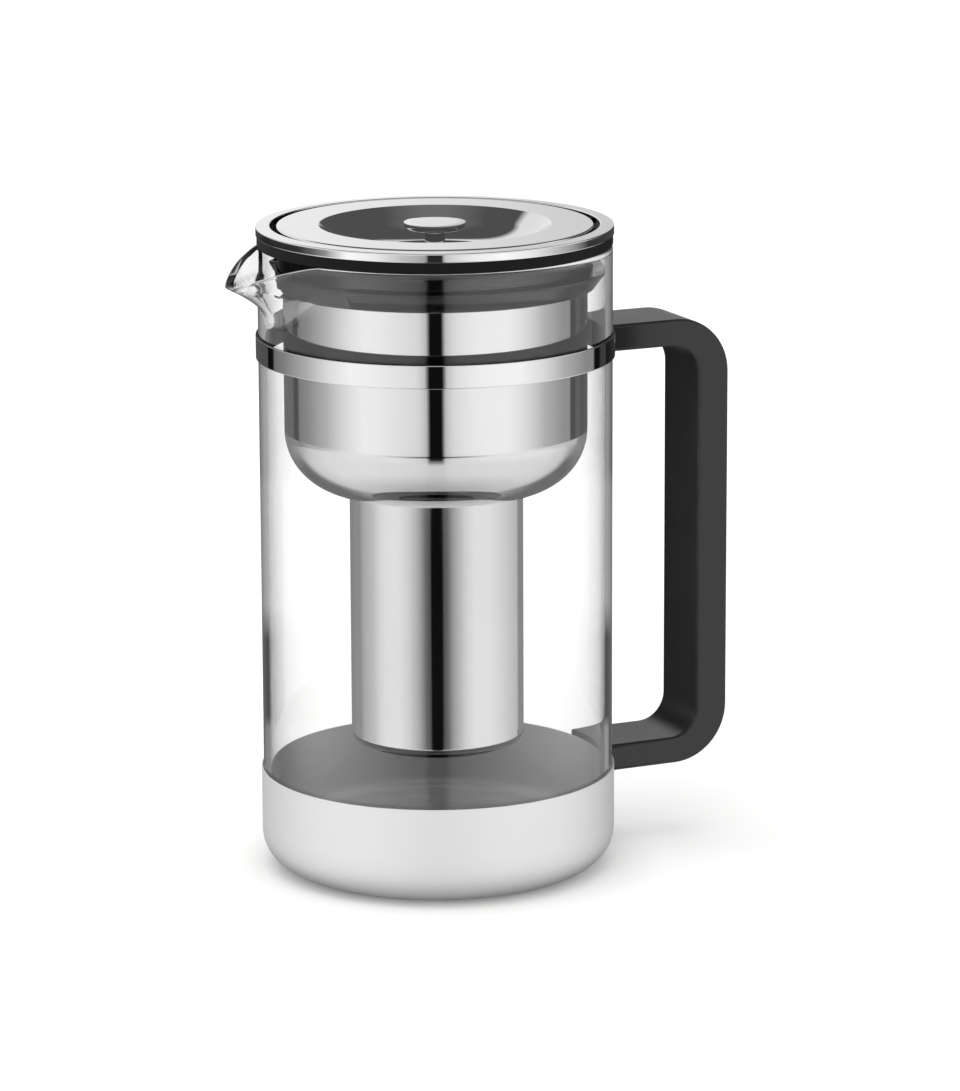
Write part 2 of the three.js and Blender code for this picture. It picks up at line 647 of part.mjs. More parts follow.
// Perforated plate over the bed of filter granules
function canContents() {
  const screenTopZ = SHOULDER_Z - SCREEN_DROP;
  const screenZ = screenTopZ - SCREEN_T;
  const screen = turnedDisc(BODY_R - SHEET - FIT, screenZ, screenTopZ, CARTRIDGE_FACETS);
  const drills = floorHoles(SCREEN_HOLE_R, SCREEN_RING_R, INLETS, screenZ, screenTopZ);
  const bedZ = MESH_Z + MESH_T + FIT;
  place('inlet_screen', cut(screen, drills), brushedSteel);
  place(
    'filter_granules',
    turnedDisc(NECK_R - SHEET - FIT, bedZ, screenZ - FIT, CARTRIDGE_FACETS),
    charcoal,
  );
}

// Wire bail that pivots in the can's collar and stands up through its mouth
function bail() {
  const legY = COLLAR_R - SHEET - 2 * FIT - WIRE_R;
  const endY = COLLAR_R + BAIL_STUB;
  const half = [
    [endY, 0],
    [(endY + legY) / 2, 0],
    [legY, BAIL_HEEL],
    ...BAIL_BOW.map(([span, height]) => [span * legY, height * BAIL_H]),
    [BAIL_FLAT / 2, BAIL_H],
  ];
  const rest = half.map(([y, z]) => [-y, z]).reverse();
  const path = new THREE.CatmullRomCurve3(
    [...half, ...rest].map(([y, z]) => new THREE.Vector3(0, y, PIVOT_Z + z)),
    false,
    'centripetal',
  );
  const section = new THREE.Shape();
  section.absarc(0, 0, WIRE_R, 0, 2 * Math.PI);
  const wire = new THREE.ExtrudeGeometry(section, {
    steps: WIRE_STEPS,
    curveSegments: WIRE_FACETS,
    extrudePath: path,
  });
  place('bail', wire, brushedSteel);
}

// Screw cap with its rolled thread, outlet holes, mesh and sealing ring
function cap() {
  const boreR = NECK_R + FIT;
  const ridges = [];
  for (const turn of [1, 0]) {
    const middleZ = CAP_EDGE_Z - RIDGE_DROP - turn * RIDGE_PITCH;
    ridges.push([CAP_R, middleZ - RIDGE_H / 2], [CAP_R + RIDGE_R, middleZ], [CAP_R, middleZ + RIDGE_H / 2]);
  }
  const wallR = CAP_R - CAP_CORNER;
  const floorZ = CARTRIDGE_Z + CAP_WALL;
  const shell = [
    [0, CARTRIDGE_Z],
    ...arc(wallR, MESH_Z, CAP_CORNER, -90, 0),
    ...ridges,
    [CAP_R, CAP_EDGE_Z],
    [boreR, CAP_EDGE_Z],
    [boreR, MESH_Z],
    ...arc(wallR, MESH_Z, CAP_CORNER - CAP_WALL, 0, -90, 2),
    [0, floorZ],
  ];
  const drills = floorHoles(OUTLET_R, OUTLET_RING_R, OUTLETS, CARTRIDGE_Z, floorZ);
  place('cartridge_cap', cut(turned(shell, CARTRIDGE_FACETS), drills), brushedSteel);
  place('outlet_mesh', turnedDisc(boreR - FIT, MESH_Z, MESH_Z + MESH_T, CARTRIDGE_FACETS), brushedSteel);
  const ringZ = CAP_EDGE_Z + FIT;
  place('cap_o_ring', turnedRing(boreR, BODY_R, ringZ, ringZ + O_RING_T, CARTRIDGE_FACETS), blackSilicone);
}

base();
glass();
band();
handle();
rimParts();
wiper();
funnel();
sleeve();
seat();
lid();
knob();
can();
canContents();
bail();
cap();

export default jug;
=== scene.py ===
"""Water filter jug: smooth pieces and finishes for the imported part, on a plain studio stage."""
import json
import math

import bmesh
import bpy
from mathutils import Matrix, Vector


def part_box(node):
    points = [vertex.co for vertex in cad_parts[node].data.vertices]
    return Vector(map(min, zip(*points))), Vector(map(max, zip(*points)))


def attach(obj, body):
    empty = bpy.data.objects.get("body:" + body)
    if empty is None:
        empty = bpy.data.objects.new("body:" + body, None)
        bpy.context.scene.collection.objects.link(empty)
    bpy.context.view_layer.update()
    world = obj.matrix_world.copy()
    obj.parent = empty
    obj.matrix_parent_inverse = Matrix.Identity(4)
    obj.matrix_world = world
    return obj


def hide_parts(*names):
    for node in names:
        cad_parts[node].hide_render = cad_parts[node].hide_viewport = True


bl_info = {
    "name": "Water Filter Jug",
    "version": (1, 0, 0),
    "blender": (4, 5, 0),
    "location": "View3D > Sidebar > Filter Jug",
    "description": "Builds the jug, its filter unit, lid and cartridge, and a studio stage",
    "category": "Add Mesh",
}

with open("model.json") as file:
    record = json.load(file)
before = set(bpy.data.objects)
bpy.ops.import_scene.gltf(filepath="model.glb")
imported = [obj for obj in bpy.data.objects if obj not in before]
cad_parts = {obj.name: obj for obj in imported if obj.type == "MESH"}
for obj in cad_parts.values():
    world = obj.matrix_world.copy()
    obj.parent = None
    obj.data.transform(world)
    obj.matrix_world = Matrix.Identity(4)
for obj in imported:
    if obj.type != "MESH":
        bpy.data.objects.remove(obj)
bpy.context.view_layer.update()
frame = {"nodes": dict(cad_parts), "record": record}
MM = 0.001
TURN = 2 * math.pi

# Camera, fitted to the photo: millimetres for the lens and the sensor, degrees for the angles
LENS = 164.99
SENSOR = 36
CAMERA_PLACE = (-825.7 * MM, -1854.5 * MM, 607.5 * MM)
CAMERA_TURN = -24.51
CAMERA_TILT = 90 - 13.08
CAMERA_ROLL = -0.23

# Stage: lengths in metres, the lamp's power in watts, and levels where 1 shows as white
FLOOR_HALF = 6
FLOOR_LIFT = 0.27
LAMP_SIZE = 2.4
LAMP_POWER = 24
LAMP_PLACE = (-0.35, 0.3, 2.3)
LAMP_AIM = (0, 0, 0.12)
CARD_PLACE = (66 * MM, 118 * MM, 110 * MM)
CARD_HALF = (48 * MM, 125 * MM, 1, 1)
STUDIO_FACING = -24
STUDIO_UNDER = 0.6
EVEN_GLOW = 0.78

# The studio from the floor up, as mirror images show it. Each layer takes over from the one under it between
# two elevations, in degrees. Its levels go round in degrees from the camera: a dark gap in front, bright
# panels at the sides, dark flags behind.
STUDIO = (
    (-75, -45, (
        (-180, 0.1), (-150, 0.1), (-138, 0.16), (-125, 0.8), (-100, 1.0), (-60, 1.05), (0, 0.95), (60, 1.0),
        (100, 0.95), (120, 0.8), (132, 0.12), (150, 0.1), (180, 0.1),
    )),
    (-28, -18, (
        (-180, 0.1), (-160, 0.2), (-138, 0.35), (-128, 0.5), (-115, 0.8), (-94, 1.0), (-60, 1.1),
        (-30, 1.1), (-12, 0.95), (-6.5, 0.8), (-5.2, 0.02), (5.2, 0.02), (6.5, 0.8), (12, 0.95), (40, 1.15),
        (60, 1.15), (94, 1.1), (115, 0.85), (128, 0.5), (138, 0.3), (160, 0.2), (180, 0.1),
    )),
    (-15.9, -15.7, (
        (-180, 0.2), (-150, 0.22), (-138, 0.28), (-124, 0.28), (-119, 0.42), (-110, 0.54), (-94, 0.7),
        (-80, 1.0), (-69, 1.1), (-52, 1.12), (-39, 0.95), (-27, 0.66), (-21, 0.45), (-15, 0.2), (-9, 0.13),
        (-7, 0.006), (7, 0.006), (9, 0.13), (15, 0.2), (21, 0.45), (30, 0.7), (39, 0.95), (51, 1.12),
        (73, 1.1), (100, 0.88), (122, 0.68), (134, 0.6), (137, 0.28), (150, 0.22), (180, 0.2),
    )),
    (-12.4, -12.2, (
        (-180, 0.1), (-136, 0.1), (-135, 0.006), (-127, 0.006), (-126, 0.2), (-112, 0.3), (-90, 0.58),
        (-72, 1.0), (-56, 1.25), (-41, 1.2), (-27, 1.1), (-13, 1.0), (-6.2, 0.7), (-5.2, 0.006),
        (5.2, 0.006), (6.2, 0.7), (13, 1.02), (27, 1.2), (41, 1.25), (56, 1.25), (72, 1.0), (90, 0.58),
        (112, 0.34), (121, 0.32), (122.5, 0.006), (130, 0.006), (131.5, 0.06), (140, 0.06), (142, 0.01),
        (180, 0.06),
    )),
    (-10.25, -10.15, (
        (-180, 0.1), (-140, 0.02), (-98, 0.02), (-86, 0.12), (-74, 0.35), (-58, 1.35), (-40, 1.2),
        (-20, 0.7), (-6, 0.5), (-4.5, 0.03), (4.5, 0.03), (6, 0.8), (25, 1.2), (45, 1.35), (66, 1.1),
        (84, 0.7), (100, 0.4), (116, 0.03), (140, 0.06), (180, 0.1),
    )),
    (-9.55, -9.3, (
        (-180, 0.1), (-138, 0.11), (-119, 0.45), (-90, 0.75), (-60, 1.0), (-13, 0.9), (-6, 0.5), (-5, 0.01),
        (5, 0.01), (6, 0.5), (13, 0.9), (60, 1.0), (90, 0.75), (119, 0.4), (132, 0.16), (138, 0.05),
        (180, 0.05),
    )),
    (-6.4, -4.4, (
        (-180, 0.9), (-178, 1.03), (-174, 1.0), (110, 1.0), (120, 0.1), (165, 0.1), (170, 0.8), (176, 0.72),
        (178, 0.7), (180, 0.9),
    )),
    (34, 40, ((-180, 0.1), (180, 0.1))),
    (60, 78, ((-180, 0.2), (180, 0.2))),
)

BODY_OF = {node: body for body, nodes in frame["record"]["behaviour"]["bodies"].items() for node in nodes}
SLOT_OF = {part["node"]: part["material_slot"] for part in frame["record"]["subparts"]}


def linear(code):
    """An sRGB hex colour as linear red, green, blue and alpha."""
    parts = [int(code[i:i + 2], 16) / 255 for i in (1, 3, 5)]
    return tuple(c / 12.92 if c <= 0.04045 else ((c + 0.055) / 1.055) ** 2.4 for c in parts) + (1.0,)


def length(name, description, millimetres):
    """A property for a length that a user may change."""
    return bpy.props.FloatProperty(
        name=name, description=description, default=millimetres * MM, min=0, precision=5,
        subtype="DISTANCE", unit="LENGTH",
    )


def colour(name, description, code):
    """A property for a colour that a user may change."""
    return bpy.props.FloatVectorProperty(
        name=name, description=description, default=linear(code), size=4, min=0, max=1, subtype="COLOR",
    )


class JugSizes(bpy.types.PropertyGroup):
    """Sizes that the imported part's boxes don't give."""

    facets: bpy.props.IntProperty(
        name="Facets", description="Straight pieces in a full turn of a large piece", default=192, min=24,
    )
    sheet: length("Steel sheet", "Thickness of the drawn steel pieces", 0.6)
    fold: length("Folded edge", "Radius where the sheet is folded", 0.9)
    glass_wall: length("Glass wall", "Thickness of the blown wall", 2.8)
    glass_floor: length("Glass floor", "Thickness of the glass under the water", 5.0)
    glass_corner: length("Glass corner", "Outside radius between the wall and the floor", 11.1)
    beak_reach: length("Beak reach", "How far the tip stands out past the wall", 19.1)
    beak_dip: length("Beak dip", "How far the tip lies under the rim", 11.5)
    beak_depth: length("Beak depth", "From the rim down to the foot of the beak", 29.4)
    beak_width: length("Beak width", "From the beak's middle to where its side leaves the round rim", 28.5)
    beak_round: length("Beak rounding", "How softly the beak's keel is rounded", 6.0)
    beak_bulge: length("Beak bulge", "How far the beak's sides swell past a straight line", 2.0)
    beak_blend: length("Beak blend", "How softly the beak's sides run into the round wall", 4.0)
    cup_corner: length("Cup corner", "Outside radius of the base cup", 15.0)
    handle_corner: length("Handle corner", "Outside radius where the grip meets the arms", 24.0)
    handle_fillet: length("Handle fillet", "Inside radius where the grip meets the arms", 12.0)
    handle_edge: length("Handle edge", "Rounding along the handle's long edges", 1.2)
    arm_end: length("Arm end", "Radius of the hollow at the end of each arm", 74.5)
    arm_thickness: length("Arm thickness", "Height of each handle arm", 11.3)
    grip_thickness: length("Grip thickness", "Depth of the grip towards the hand", 14.2)
    funnel_corner: length("Funnel corner", "Outside radius of the funnel's floor", 26.0)
    dish_wall: length("Dish wall", "Radial run of the lid's sloping wall", 12.0)
    dish_radius: length("Dish radius", "Radius of the lid's dish at the top", 47.7)
    ridge_pitch: length("Thread pitch", "Climb of the cap's rolled thread in one turn", 4.2)


class JugColours(bpy.types.PropertyGroup):
    """Colours of the finishes."""

    glass: colour("Glass", "Clear glass", "#fdfdfd")
    polished_steel: colour("Polished steel", "Mirror-polished stainless steel", "#dbdbdb")
    satin_steel: colour("Satin steel", "Satin stainless steel", "#eeeeee")
    drawn_steel: colour("Drawn steel", "Unpolished stainless steel inside the cup", "#f0f0f0")
    brushed_steel: colour("Brushed steel", "Brushed stainless steel", "#c6c6c4")
    black_plastic: colour("Black plastic", "Moulded plastic with a matt grain", "#1d1d1e")
    gloss_plastic: colour("Gloss black plastic", "Moulded plastic from a polished mould", "#080809")
    black_silicone: colour("Black silicone", "Moulded silicone", "#0d0d0e")
    granules: colour("Granules", "Loose filter granules", "#2b2a29")
    floor: colour("Floor", "Stage floor", "#f1f1f0")


# Finishes


def add_node(tree, kind, inputs=None, stops=None, **settings):
    """Adds a node, sets its properties and ramp stops, and sets or links its input sockets."""
    made = tree.nodes.new(kind)
    for name, value in settings.items():
        setattr(made, name, value)
    for name, value in (inputs or {}).items():
        if isinstance(value, bpy.types.NodeSocket):
            tree.links.new(value, made.inputs[name])
        else:
            made.inputs[name].default_value = value
    if stops:
        ramp = made.color_ramp.elements
        while len(ramp) < len(stops):
            ramp.new(0.5)
        for stop, (place, level) in zip(ramp, stops):
            stop.position = place
            stop.color = (level, level, level, 1.0)
    return made


def new_finish(build, colours):
    """A material named for its build function, which gives the shader that covers it."""
    material = bpy.data.materials.new(build.__name__)
    material.use_nodes = True
    tree = material.node_tree
    tree.nodes.clear()
    add_node(tree, "ShaderNodeOutputMaterial", {"Surface": build(tree, colours)})
    return material


def blown_borosilicate_glass(tree, colours):
    """Clear blown glass: sharp see-through, dark thin edges, a slow waviness left by the mould."""
    place = add_node(tree, "ShaderNodeTexCoord").outputs["Object"]
    # Blown walls wander over about 40 mm.
    waves = add_node(tree, "ShaderNodeTexNoise", {"Vector": place, "Scale": 25.0, "Detail": 1.0})
    bump = add_node(tree, "ShaderNodeBump", {
        "Height": waves.outputs["Fac"], "Strength": 0.12, "Distance": 0.2 * MM,
    })
    glass = add_node(tree, "ShaderNodeBsdfPrincipled", {
        "Base Color": colours.glass, "Roughness": 0.0, "IOR": 1.47, "Transmission Weight": 1.0,
        "Normal": bump.outputs["Normal"],
    })
    clear = add_node(tree, "ShaderNodeBsdfTransparent", {"Color": (0.97, 0.97, 0.97, 1.0)})
    path = add_node(tree, "ShaderNodeLightPath")
    # Light and mirror images reach what stands inside the glass straight through the wall.
    passing = add_node(tree, "ShaderNodeMath", {
        0: path.outputs["Is Shadow Ray"], 1: path.outputs["Glossy Depth"],
    }, operation="ADD", use_clamp=True)
    mix = add_node(tree, "ShaderNodeMixShader", {
        "Fac": passing.outputs["Value"], 1: glass.outputs["BSDF"], 2: clear.outputs["BSDF"],
    })
    return mix.outputs["Shader"]


def polished_stainless_steel(tree, colours):
    """Stainless steel buffed to a mirror: crisp reflections with a faint haze of buffing marks."""
    place = add_node(tree, "ShaderNodeTexCoord").outputs["Object"]
    # Buffing haze comes in patches of about 12 mm.
    haze = add_node(tree, "ShaderNodeTexNoise", {"Vector": place, "Scale": 80.0, "Detail": 4.0})
    rough = add_node(tree, "ShaderNodeMapRange", {
        "Value": haze.outputs["Fac"], "To Min": 0.02, "To Max": 0.045,
    })
    # Drawn sheet keeps a slow unevenness of about 60 mm.
    waves = add_node(tree, "ShaderNodeTexNoise", {"Vector": place, "Scale": 16.0, "Detail": 1.0})
    bump = add_node(tree, "ShaderNodeBump", {
        "Height": waves.outputs["Fac"], "Strength": 0.1, "Distance": 0.3 * MM,
    })
    steel = add_node(tree, "ShaderNodeBsdfPrincipled", {
        "Base Color": colours.polished_steel, "Metallic": 1.0, "Roughness": rough.outputs["Result"],
        "Normal": bump.outputs["Normal"],
    })
    return steel.outputs["BSDF"]


def satin_stainless_steel(tree, colours):
    """Stainless steel with a fine satin blast: soft broad sheen, no readable reflection."""
    place = add_node(tree, "ShaderNodeTexCoord").outputs["Object"]
    # Blast grit is about 0.1 mm and is drawn at 0.5 mm, so that it shows.
    grit = add_node(tree, "ShaderNodeTexNoise", {"Vector": place, "Scale": 2000.0, "Detail": 2.0})
    bump = add_node(tree, "ShaderNodeBump", {
        "Height": grit.outputs["Fac"], "Strength": 0.15, "Distance": 0.05 * MM,
    })
    # Handling leaves slightly shinier patches of about 30 mm.
    patches = add_node(tree, "ShaderNodeTexNoise", {"Vector": place, "Scale": 35.0, "Detail": 3.0})
    rough = add_node(tree, "ShaderNodeMapRange", {
        "Value": patches.outputs["Fac"], "To Min": 0.46, "To Max": 0.54,
    })
    # Painted shade: the base colour darkens within 22 mm of what the foot stands on, to less than half at
    # most.
    near = add_node(tree, "ShaderNodeAmbientOcclusion", {"Distance": 22 * MM})
    shade = add_node(tree, "ShaderNodeMix", {
        "Factor": near.outputs["AO"], 6: linear("#a8a8a8"), 7: colours.satin_steel,
    }, data_type="RGBA")
    steel = add_node(tree, "ShaderNodeBsdfPrincipled", {
        "Base Color": shade.outputs[2], "Metallic": 0.6, "Roughness": rough.outputs["Result"],
        "Normal": bump.outputs["Normal"],
    })
    return steel.outputs["BSDF"]


def brushed_stainless_steel(tree, colours):
    """Stainless steel brushed round its axis: fine level lines that spread highlights up and down."""
    place = add_node(tree, "ShaderNodeTexCoord").outputs["Object"]
    # Brush lines are about 0.1 mm apart and are drawn at 0.4 mm. They run on for tens of millimetres.
    along = add_node(tree, "ShaderNodeMapping", {"Vector": place, "Scale": (30.0, 30.0, 2500.0)})
    lines = add_node(tree, "ShaderNodeTexNoise", {
        "Vector": along.outputs["Vector"], "Scale": 1.0, "Detail": 5.0,
    })
    bump = add_node(tree, "ShaderNodeBump", {
        "Height": lines.outputs["Fac"], "Strength": 0.35, "Distance": 0.06 * MM,
    })
    rough = add_node(tree, "ShaderNodeMapRange", {
        "Value": lines.outputs["Fac"], "To Min": 0.18, "To Max": 0.42,
    })
    steel = add_node(tree, "ShaderNodeBsdfPrincipled", {
        "Base Color": colours.brushed_steel, "Metallic": 1.0, "Roughness": rough.outputs["Result"],
        "Normal": bump.outputs["Normal"],
    })
    return steel.outputs["BSDF"]


def moulded_black_plastic(tree, colours):
    """Moulded black plastic with a fine spark-eroded grain: matt, with a soft grey sheen at low angles."""
    place = add_node(tree, "ShaderNodeTexCoord").outputs["Object"]
    # Mould grain is about 0.2 mm and is drawn at 0.7 mm.
    grain = add_node(tree, "ShaderNodeTexNoise", {"Vector": place, "Scale": 1400.0, "Detail": 2.0})
    bump = add_node(tree, "ShaderNodeBump", {
        "Height": grain.outputs["Fac"], "Strength": 0.3, "Distance": 0.08 * MM,
    })
    # Skin oil evens out the grain in patches of about 40 mm.
    patches = add_node(tree, "ShaderNodeTexNoise", {"Vector": place, "Scale": 25.0, "Detail": 3.0})
    rough = add_node(tree, "ShaderNodeMapRange", {
        "Value": patches.outputs["Fac"], "To Min": 0.34, "To Max": 0.44,
    })
    plastic = add_node(tree, "ShaderNodeBsdfPrincipled", {
        "Base Color": colours.black_plastic, "Roughness": rough.outputs["Result"], "IOR": 1.5,
        "Normal": bump.outputs["Normal"],
    })
    return plastic.outputs["BSDF"]


def gloss_black_plastic(tree, colours):
    """Black plastic from a polished mould: deep black under clear reflections."""
    place = add_node(tree, "ShaderNodeTexCoord").outputs["Object"]
    # Wiping leaves a faint haze in patches of about 20 mm.
    haze = add_node(tree, "ShaderNodeTexNoise", {"Vector": place, "Scale": 50.0, "Detail": 4.0})
    rough = add_node(tree, "ShaderNodeMapRange", {
        "Value": haze.outputs["Fac"], "To Min": 0.03, "To Max": 0.07,
    })
    plastic = add_node(tree, "ShaderNodeBsdfPrincipled", {
        "Base Color": colours.gloss_plastic, "Roughness": rough.outputs["Result"], "IOR": 1.54,
    })
    return plastic.outputs["BSDF"]


def moulded_black_silicone(tree, colours):
    """Black silicone from a smooth mould: soft waxy sheen, with a little dust that it holds."""
    place = add_node(tree, "ShaderNodeTexCoord").outputs["Object"]
    # Dust and handling show in patches of about 15 mm.
    dust = add_node(tree, "ShaderNodeTexNoise", {"Vector": place, "Scale": 70.0, "Detail": 6.0})
    rough = add_node(tree, "ShaderNodeMapRange", {
        "Value": dust.outputs["Fac"], "To Min": 0.5, "To Max": 0.66,
    })
    # The skin is uneven over about 1 mm.
    skin = add_node(tree, "ShaderNodeTexNoise", {"Vector": place, "Scale": 900.0, "Detail": 1.0})
    bump = add_node(tree, "ShaderNodeBump", {
        "Height": skin.outputs["Fac"], "Strength": 0.15, "Distance": 0.05 * MM,
    })
    silicone = add_node(tree, "ShaderNodeBsdfPrincipled", {
        "Base Color": colours.black_silicone, "Roughness": rough.outputs["Result"], "IOR": 1.42,
        "Specular IOR Level": 0.2, "Normal": bump.outputs["Normal"],
    })
    return silicone.outputs["BSDF"]


def polished_black_silicone(tree, colours):
    """Black silicone from a polished mould: clear reflections over a soft skin."""
    place = add_node(tree, "ShaderNodeTexCoord").outputs["Object"]
    # Wiping leaves a faint haze in patches of about 15 mm.
    haze = add_node(tree, "ShaderNodeTexNoise", {"Vector": place, "Scale": 70.0, "Detail": 4.0})
    rough = add_node(tree, "ShaderNodeMapRange", {
        "Value": haze.outputs["Fac"], "To Min": 0.05, "To Max": 0.1,
    })
    silicone = add_node(tree, "ShaderNodeBsdfPrincipled", {
        "Base Color": colours.black_silicone, "Roughness": rough.outputs["Result"], "IOR": 1.45,
    })
    return silicone.outputs["BSDF"]


def drawn_stainless_steel(tree, colours):
    """Stainless steel as it leaves the press: dull, its sheen spread up and down by level draw lines."""
    place = add_node(tree, "ShaderNodeTexCoord").outputs["Object"]
    # Press oil and draw marks show in patches of about 10 mm.
    marks = add_node(tree, "ShaderNodeTexNoise", {"Vector": place, "Scale": 100.0, "Detail": 5.0})
    rough = add_node(tree, "ShaderNodeMapRange", {
        "Value": marks.outputs["Fac"], "To Min": 0.54, "To Max": 0.62,
    })
    level = add_node(tree, "ShaderNodeTangent", direction_type="RADIAL", axis="Z")
    steel = add_node(tree, "ShaderNodeBsdfPrincipled", {
        "Base Color": colours.drawn_steel, "Metallic": 1.0, "Roughness": rough.outputs["Result"],
        "Anisotropic": 0.9, "Anisotropic Rotation": 0.25, "Tangent": level.outputs["Tangent"],
    })
    return steel.outputs["BSDF"]


def filter_granules(tree, colours):
    """Loose dark granules: 2 mm grains, dull, each a slightly different grey."""
    place = add_node(tree, "ShaderNodeTexCoord").outputs["Object"]
    grains = add_node(tree, "ShaderNodeTexVoronoi", {"Vector": place, "Scale": 500.0})
    shade = add_node(tree, "ShaderNodeMix", {
        "Factor": 0.35, 6: colours.granules, 7: grains.outputs["Color"],
    }, data_type="RGBA", blend_type="MULTIPLY")
    bump = add_node(tree, "ShaderNodeBump", {
        "Height": grains.outputs["Distance"], "Distance": 1.0 * MM,
    }, invert=True)
    grain = add_node(tree, "ShaderNodeBsdfPrincipled", {
        "Base Color": shade.outputs[2], "Roughness": 0.85, "Normal": bump.outputs["Normal"],
    })
    return grain.outputs["BSDF"]


def woven_steel_mesh(tree, colours):
    """Fine woven steel wire: a grid of 0.8 mm with painted shade in its gaps."""
    place = add_node(tree, "ShaderNodeTexCoord").outputs["Object"]
    turns = TURN / (0.8 * MM) / 20
    warp = add_node(tree, "ShaderNodeTexWave", {"Vector": place, "Scale": turns}, bands_direction="X")
    weft = add_node(tree, "ShaderNodeTexWave", {"Vector": place, "Scale": turns}, bands_direction="Y")
    wire = add_node(tree, "ShaderNodeMath", {
        0: warp.outputs["Fac"], 1: weft.outputs["Fac"],
    }, operation="MAXIMUM")
    bump = add_node(tree, "ShaderNodeBump", {"Height": wire.outputs["Value"], "Distance": 0.3 * MM})
    # Painted shade: the gaps between the wires are darkened in the base colour.
    shade = add_node(tree, "ShaderNodeMix", {
        "Factor": wire.outputs["Value"], 6: linear("#3a3a39"), 7: colours.brushed_steel,
    }, data_type="RGBA")
    steel = add_node(tree, "ShaderNodeBsdfPrincipled", {
        "Base Color": shade.outputs[2], "Metallic": 1.0, "Roughness": 0.35, "Normal": bump.outputs["Normal"],
    })
    return steel.outputs["BSDF"]


def painted_floor(tree, colours):
    """Matt white paint that shows white to the camera, keeps the shadow, and stays out of mirror images."""
    place = add_node(tree, "ShaderNodeTexCoord").outputs["Object"]
    # Roller marks are about 300 mm wide.
    marks = add_node(tree, "ShaderNodeTexNoise", {"Vector": place, "Scale": 3.0})
    rough = add_node(tree, "ShaderNodeMapRange", {
        "Value": marks.outputs["Fac"], "To Min": 0.85, "To Max": 0.95,
    })
    paint = add_node(tree, "ShaderNodeBsdfDiffuse", {
        "Color": colours.floor, "Roughness": rough.outputs["Result"],
    })
    path = add_node(tree, "ShaderNodeLightPath")
    seen = add_node(tree, "ShaderNodeMath", {
        0: 1.0, 1: path.outputs["Is Diffuse Ray"],
    }, operation="SUBTRACT")
    # Painted contact shadow: the lift fades within 25 mm of what stands on the floor, so the floor darkens
    # there.
    near = add_node(tree, "ShaderNodeAmbientOcclusion", {"Distance": 25 * MM})
    open_floor = add_node(tree, "ShaderNodeMath", {
        0: seen.outputs["Value"], 1: near.outputs["AO"],
    }, operation="MULTIPLY")
    lift = add_node(tree, "ShaderNodeMath", {
        0: open_floor.outputs["Value"], 1: FLOOR_LIFT,
    }, operation="MULTIPLY")
    glow = add_node(tree, "ShaderNodeEmission", {"Strength": lift.outputs["Value"]})
    white = add_node(tree, "ShaderNodeAddShader", {0: paint.outputs["BSDF"], 1: glow.outputs["Emission"]})
    clear = add_node(tree, "ShaderNodeBsdfTransparent")
    mirrored = add_node(tree, "ShaderNodeMath", {
        0: path.outputs["Glossy Depth"], 1: 0.5,
    }, operation="GREATER_THAN")
    mix = add_node(tree, "ShaderNodeMixShader", {
        "Fac": mirrored.outputs["Value"], 1: white.outputs["Shader"], 2: clear.outputs["BSDF"],
    })
    return mix.outputs["Shader"]


def black_card(tree, colours):
    """Black felt on card."""
    return add_node(tree, "ShaderNodeBsdfDiffuse", {"Color": linear("#0a0a0a")}).outputs["BSDF"]


FINISHES = {
    "clear_glass": blown_borosilicate_glass,
    "polished_steel": polished_stainless_steel,
    "satin_steel": satin_stainless_steel,
    "brushed_steel": brushed_stainless_steel,
    "drawn_steel": drawn_stainless_steel,
    "black_plastic": moulded_black_plastic,
    "gloss_black_plastic": gloss_black_plastic,
    "black_silicone": moulded_black_silicone,
    "gloss_silicone": polished_black_silicone,
    "filter_granules": filter_granules,
    "woven_mesh": woven_steel_mesh,
}
made_finishes = {}


def finish(slot):
    """The material of a slot, made once."""
    if slot not in made_finishes:
        made_finishes[slot] = new_finish(FINISHES[slot], bpy.context.scene.jug_colours)
    return made_finishes[slot]


# Shapes


def outline(points, closed=True):
    """A wire in the XZ plane through (radius, height, corner radius) points, with its corners rounded."""
    bm = bmesh.new()
    verts = [bm.verts.new((x, 0, z)) for x, z, _ in points]
    for a, b in zip(verts, verts[1:]):
        bm.edges.new((a, b))
    if closed:
        bm.edges.new((verts[-1], verts[0]))
    for vert, (_, _, corner) in zip(verts, points):
        if corner:
            one, two = [edge.other_vert(vert).co - vert.co for edge in vert.link_edges]
            reach = corner / math.tan(one.angle(two) / 2)
            bmesh.ops.bevel(
                bm, geom=[vert], offset=reach, offset_type="OFFSET", affect="VERTICES",
                segments=5 + int(corner / (2 * MM)), profile=0.5, material=-1, clamp_overlap=False,
            )
    return bm


def hold_ends(bm):
    """Adds a point near both ends of each long edge, so that smooth shading stays true between them."""
    near = 0.3 * MM
    for edge in bm.edges[:]:
        if edge.calc_length() < 10 * near:
            continue
        for vert in edge.verts[:]:
            if vert.co.x > near:
                far = edge.other_vert(vert)
                added = bmesh.utils.edge_split(edge, vert, near / edge.calc_length())[1]
                edge = bm.edges.get((added, far))


def spun(bm, steps):
    """Spins a wire about Z into a closed skin."""
    hold_ends(bm)
    bmesh.ops.spin(
        bm, geom=bm.verts[:] + bm.edges[:], cent=(0, 0, 0), axis=(0, 0, 1), angle=TURN, steps=steps,
        use_merge=True,
    )
    bmesh.ops.remove_doubles(bm, verts=bm.verts, dist=MM / 1000)
    bmesh.ops.recalc_face_normals(bm, faces=bm.faces)
    return bm


def turned(points, steps, closed=True):
    """A piece turned about Z from (radius, height, corner radius) points."""
    return spun(outline(points, closed), steps)


def slice_at(bm, place, facing):
    """Adds edges where a plane crosses the shape."""
    bmesh.ops.bisect_plane(
        bm, geom=bm.verts[:] + bm.edges[:] + bm.faces[:], dist=MM / 1000, plane_co=place, plane_no=facing,
    )


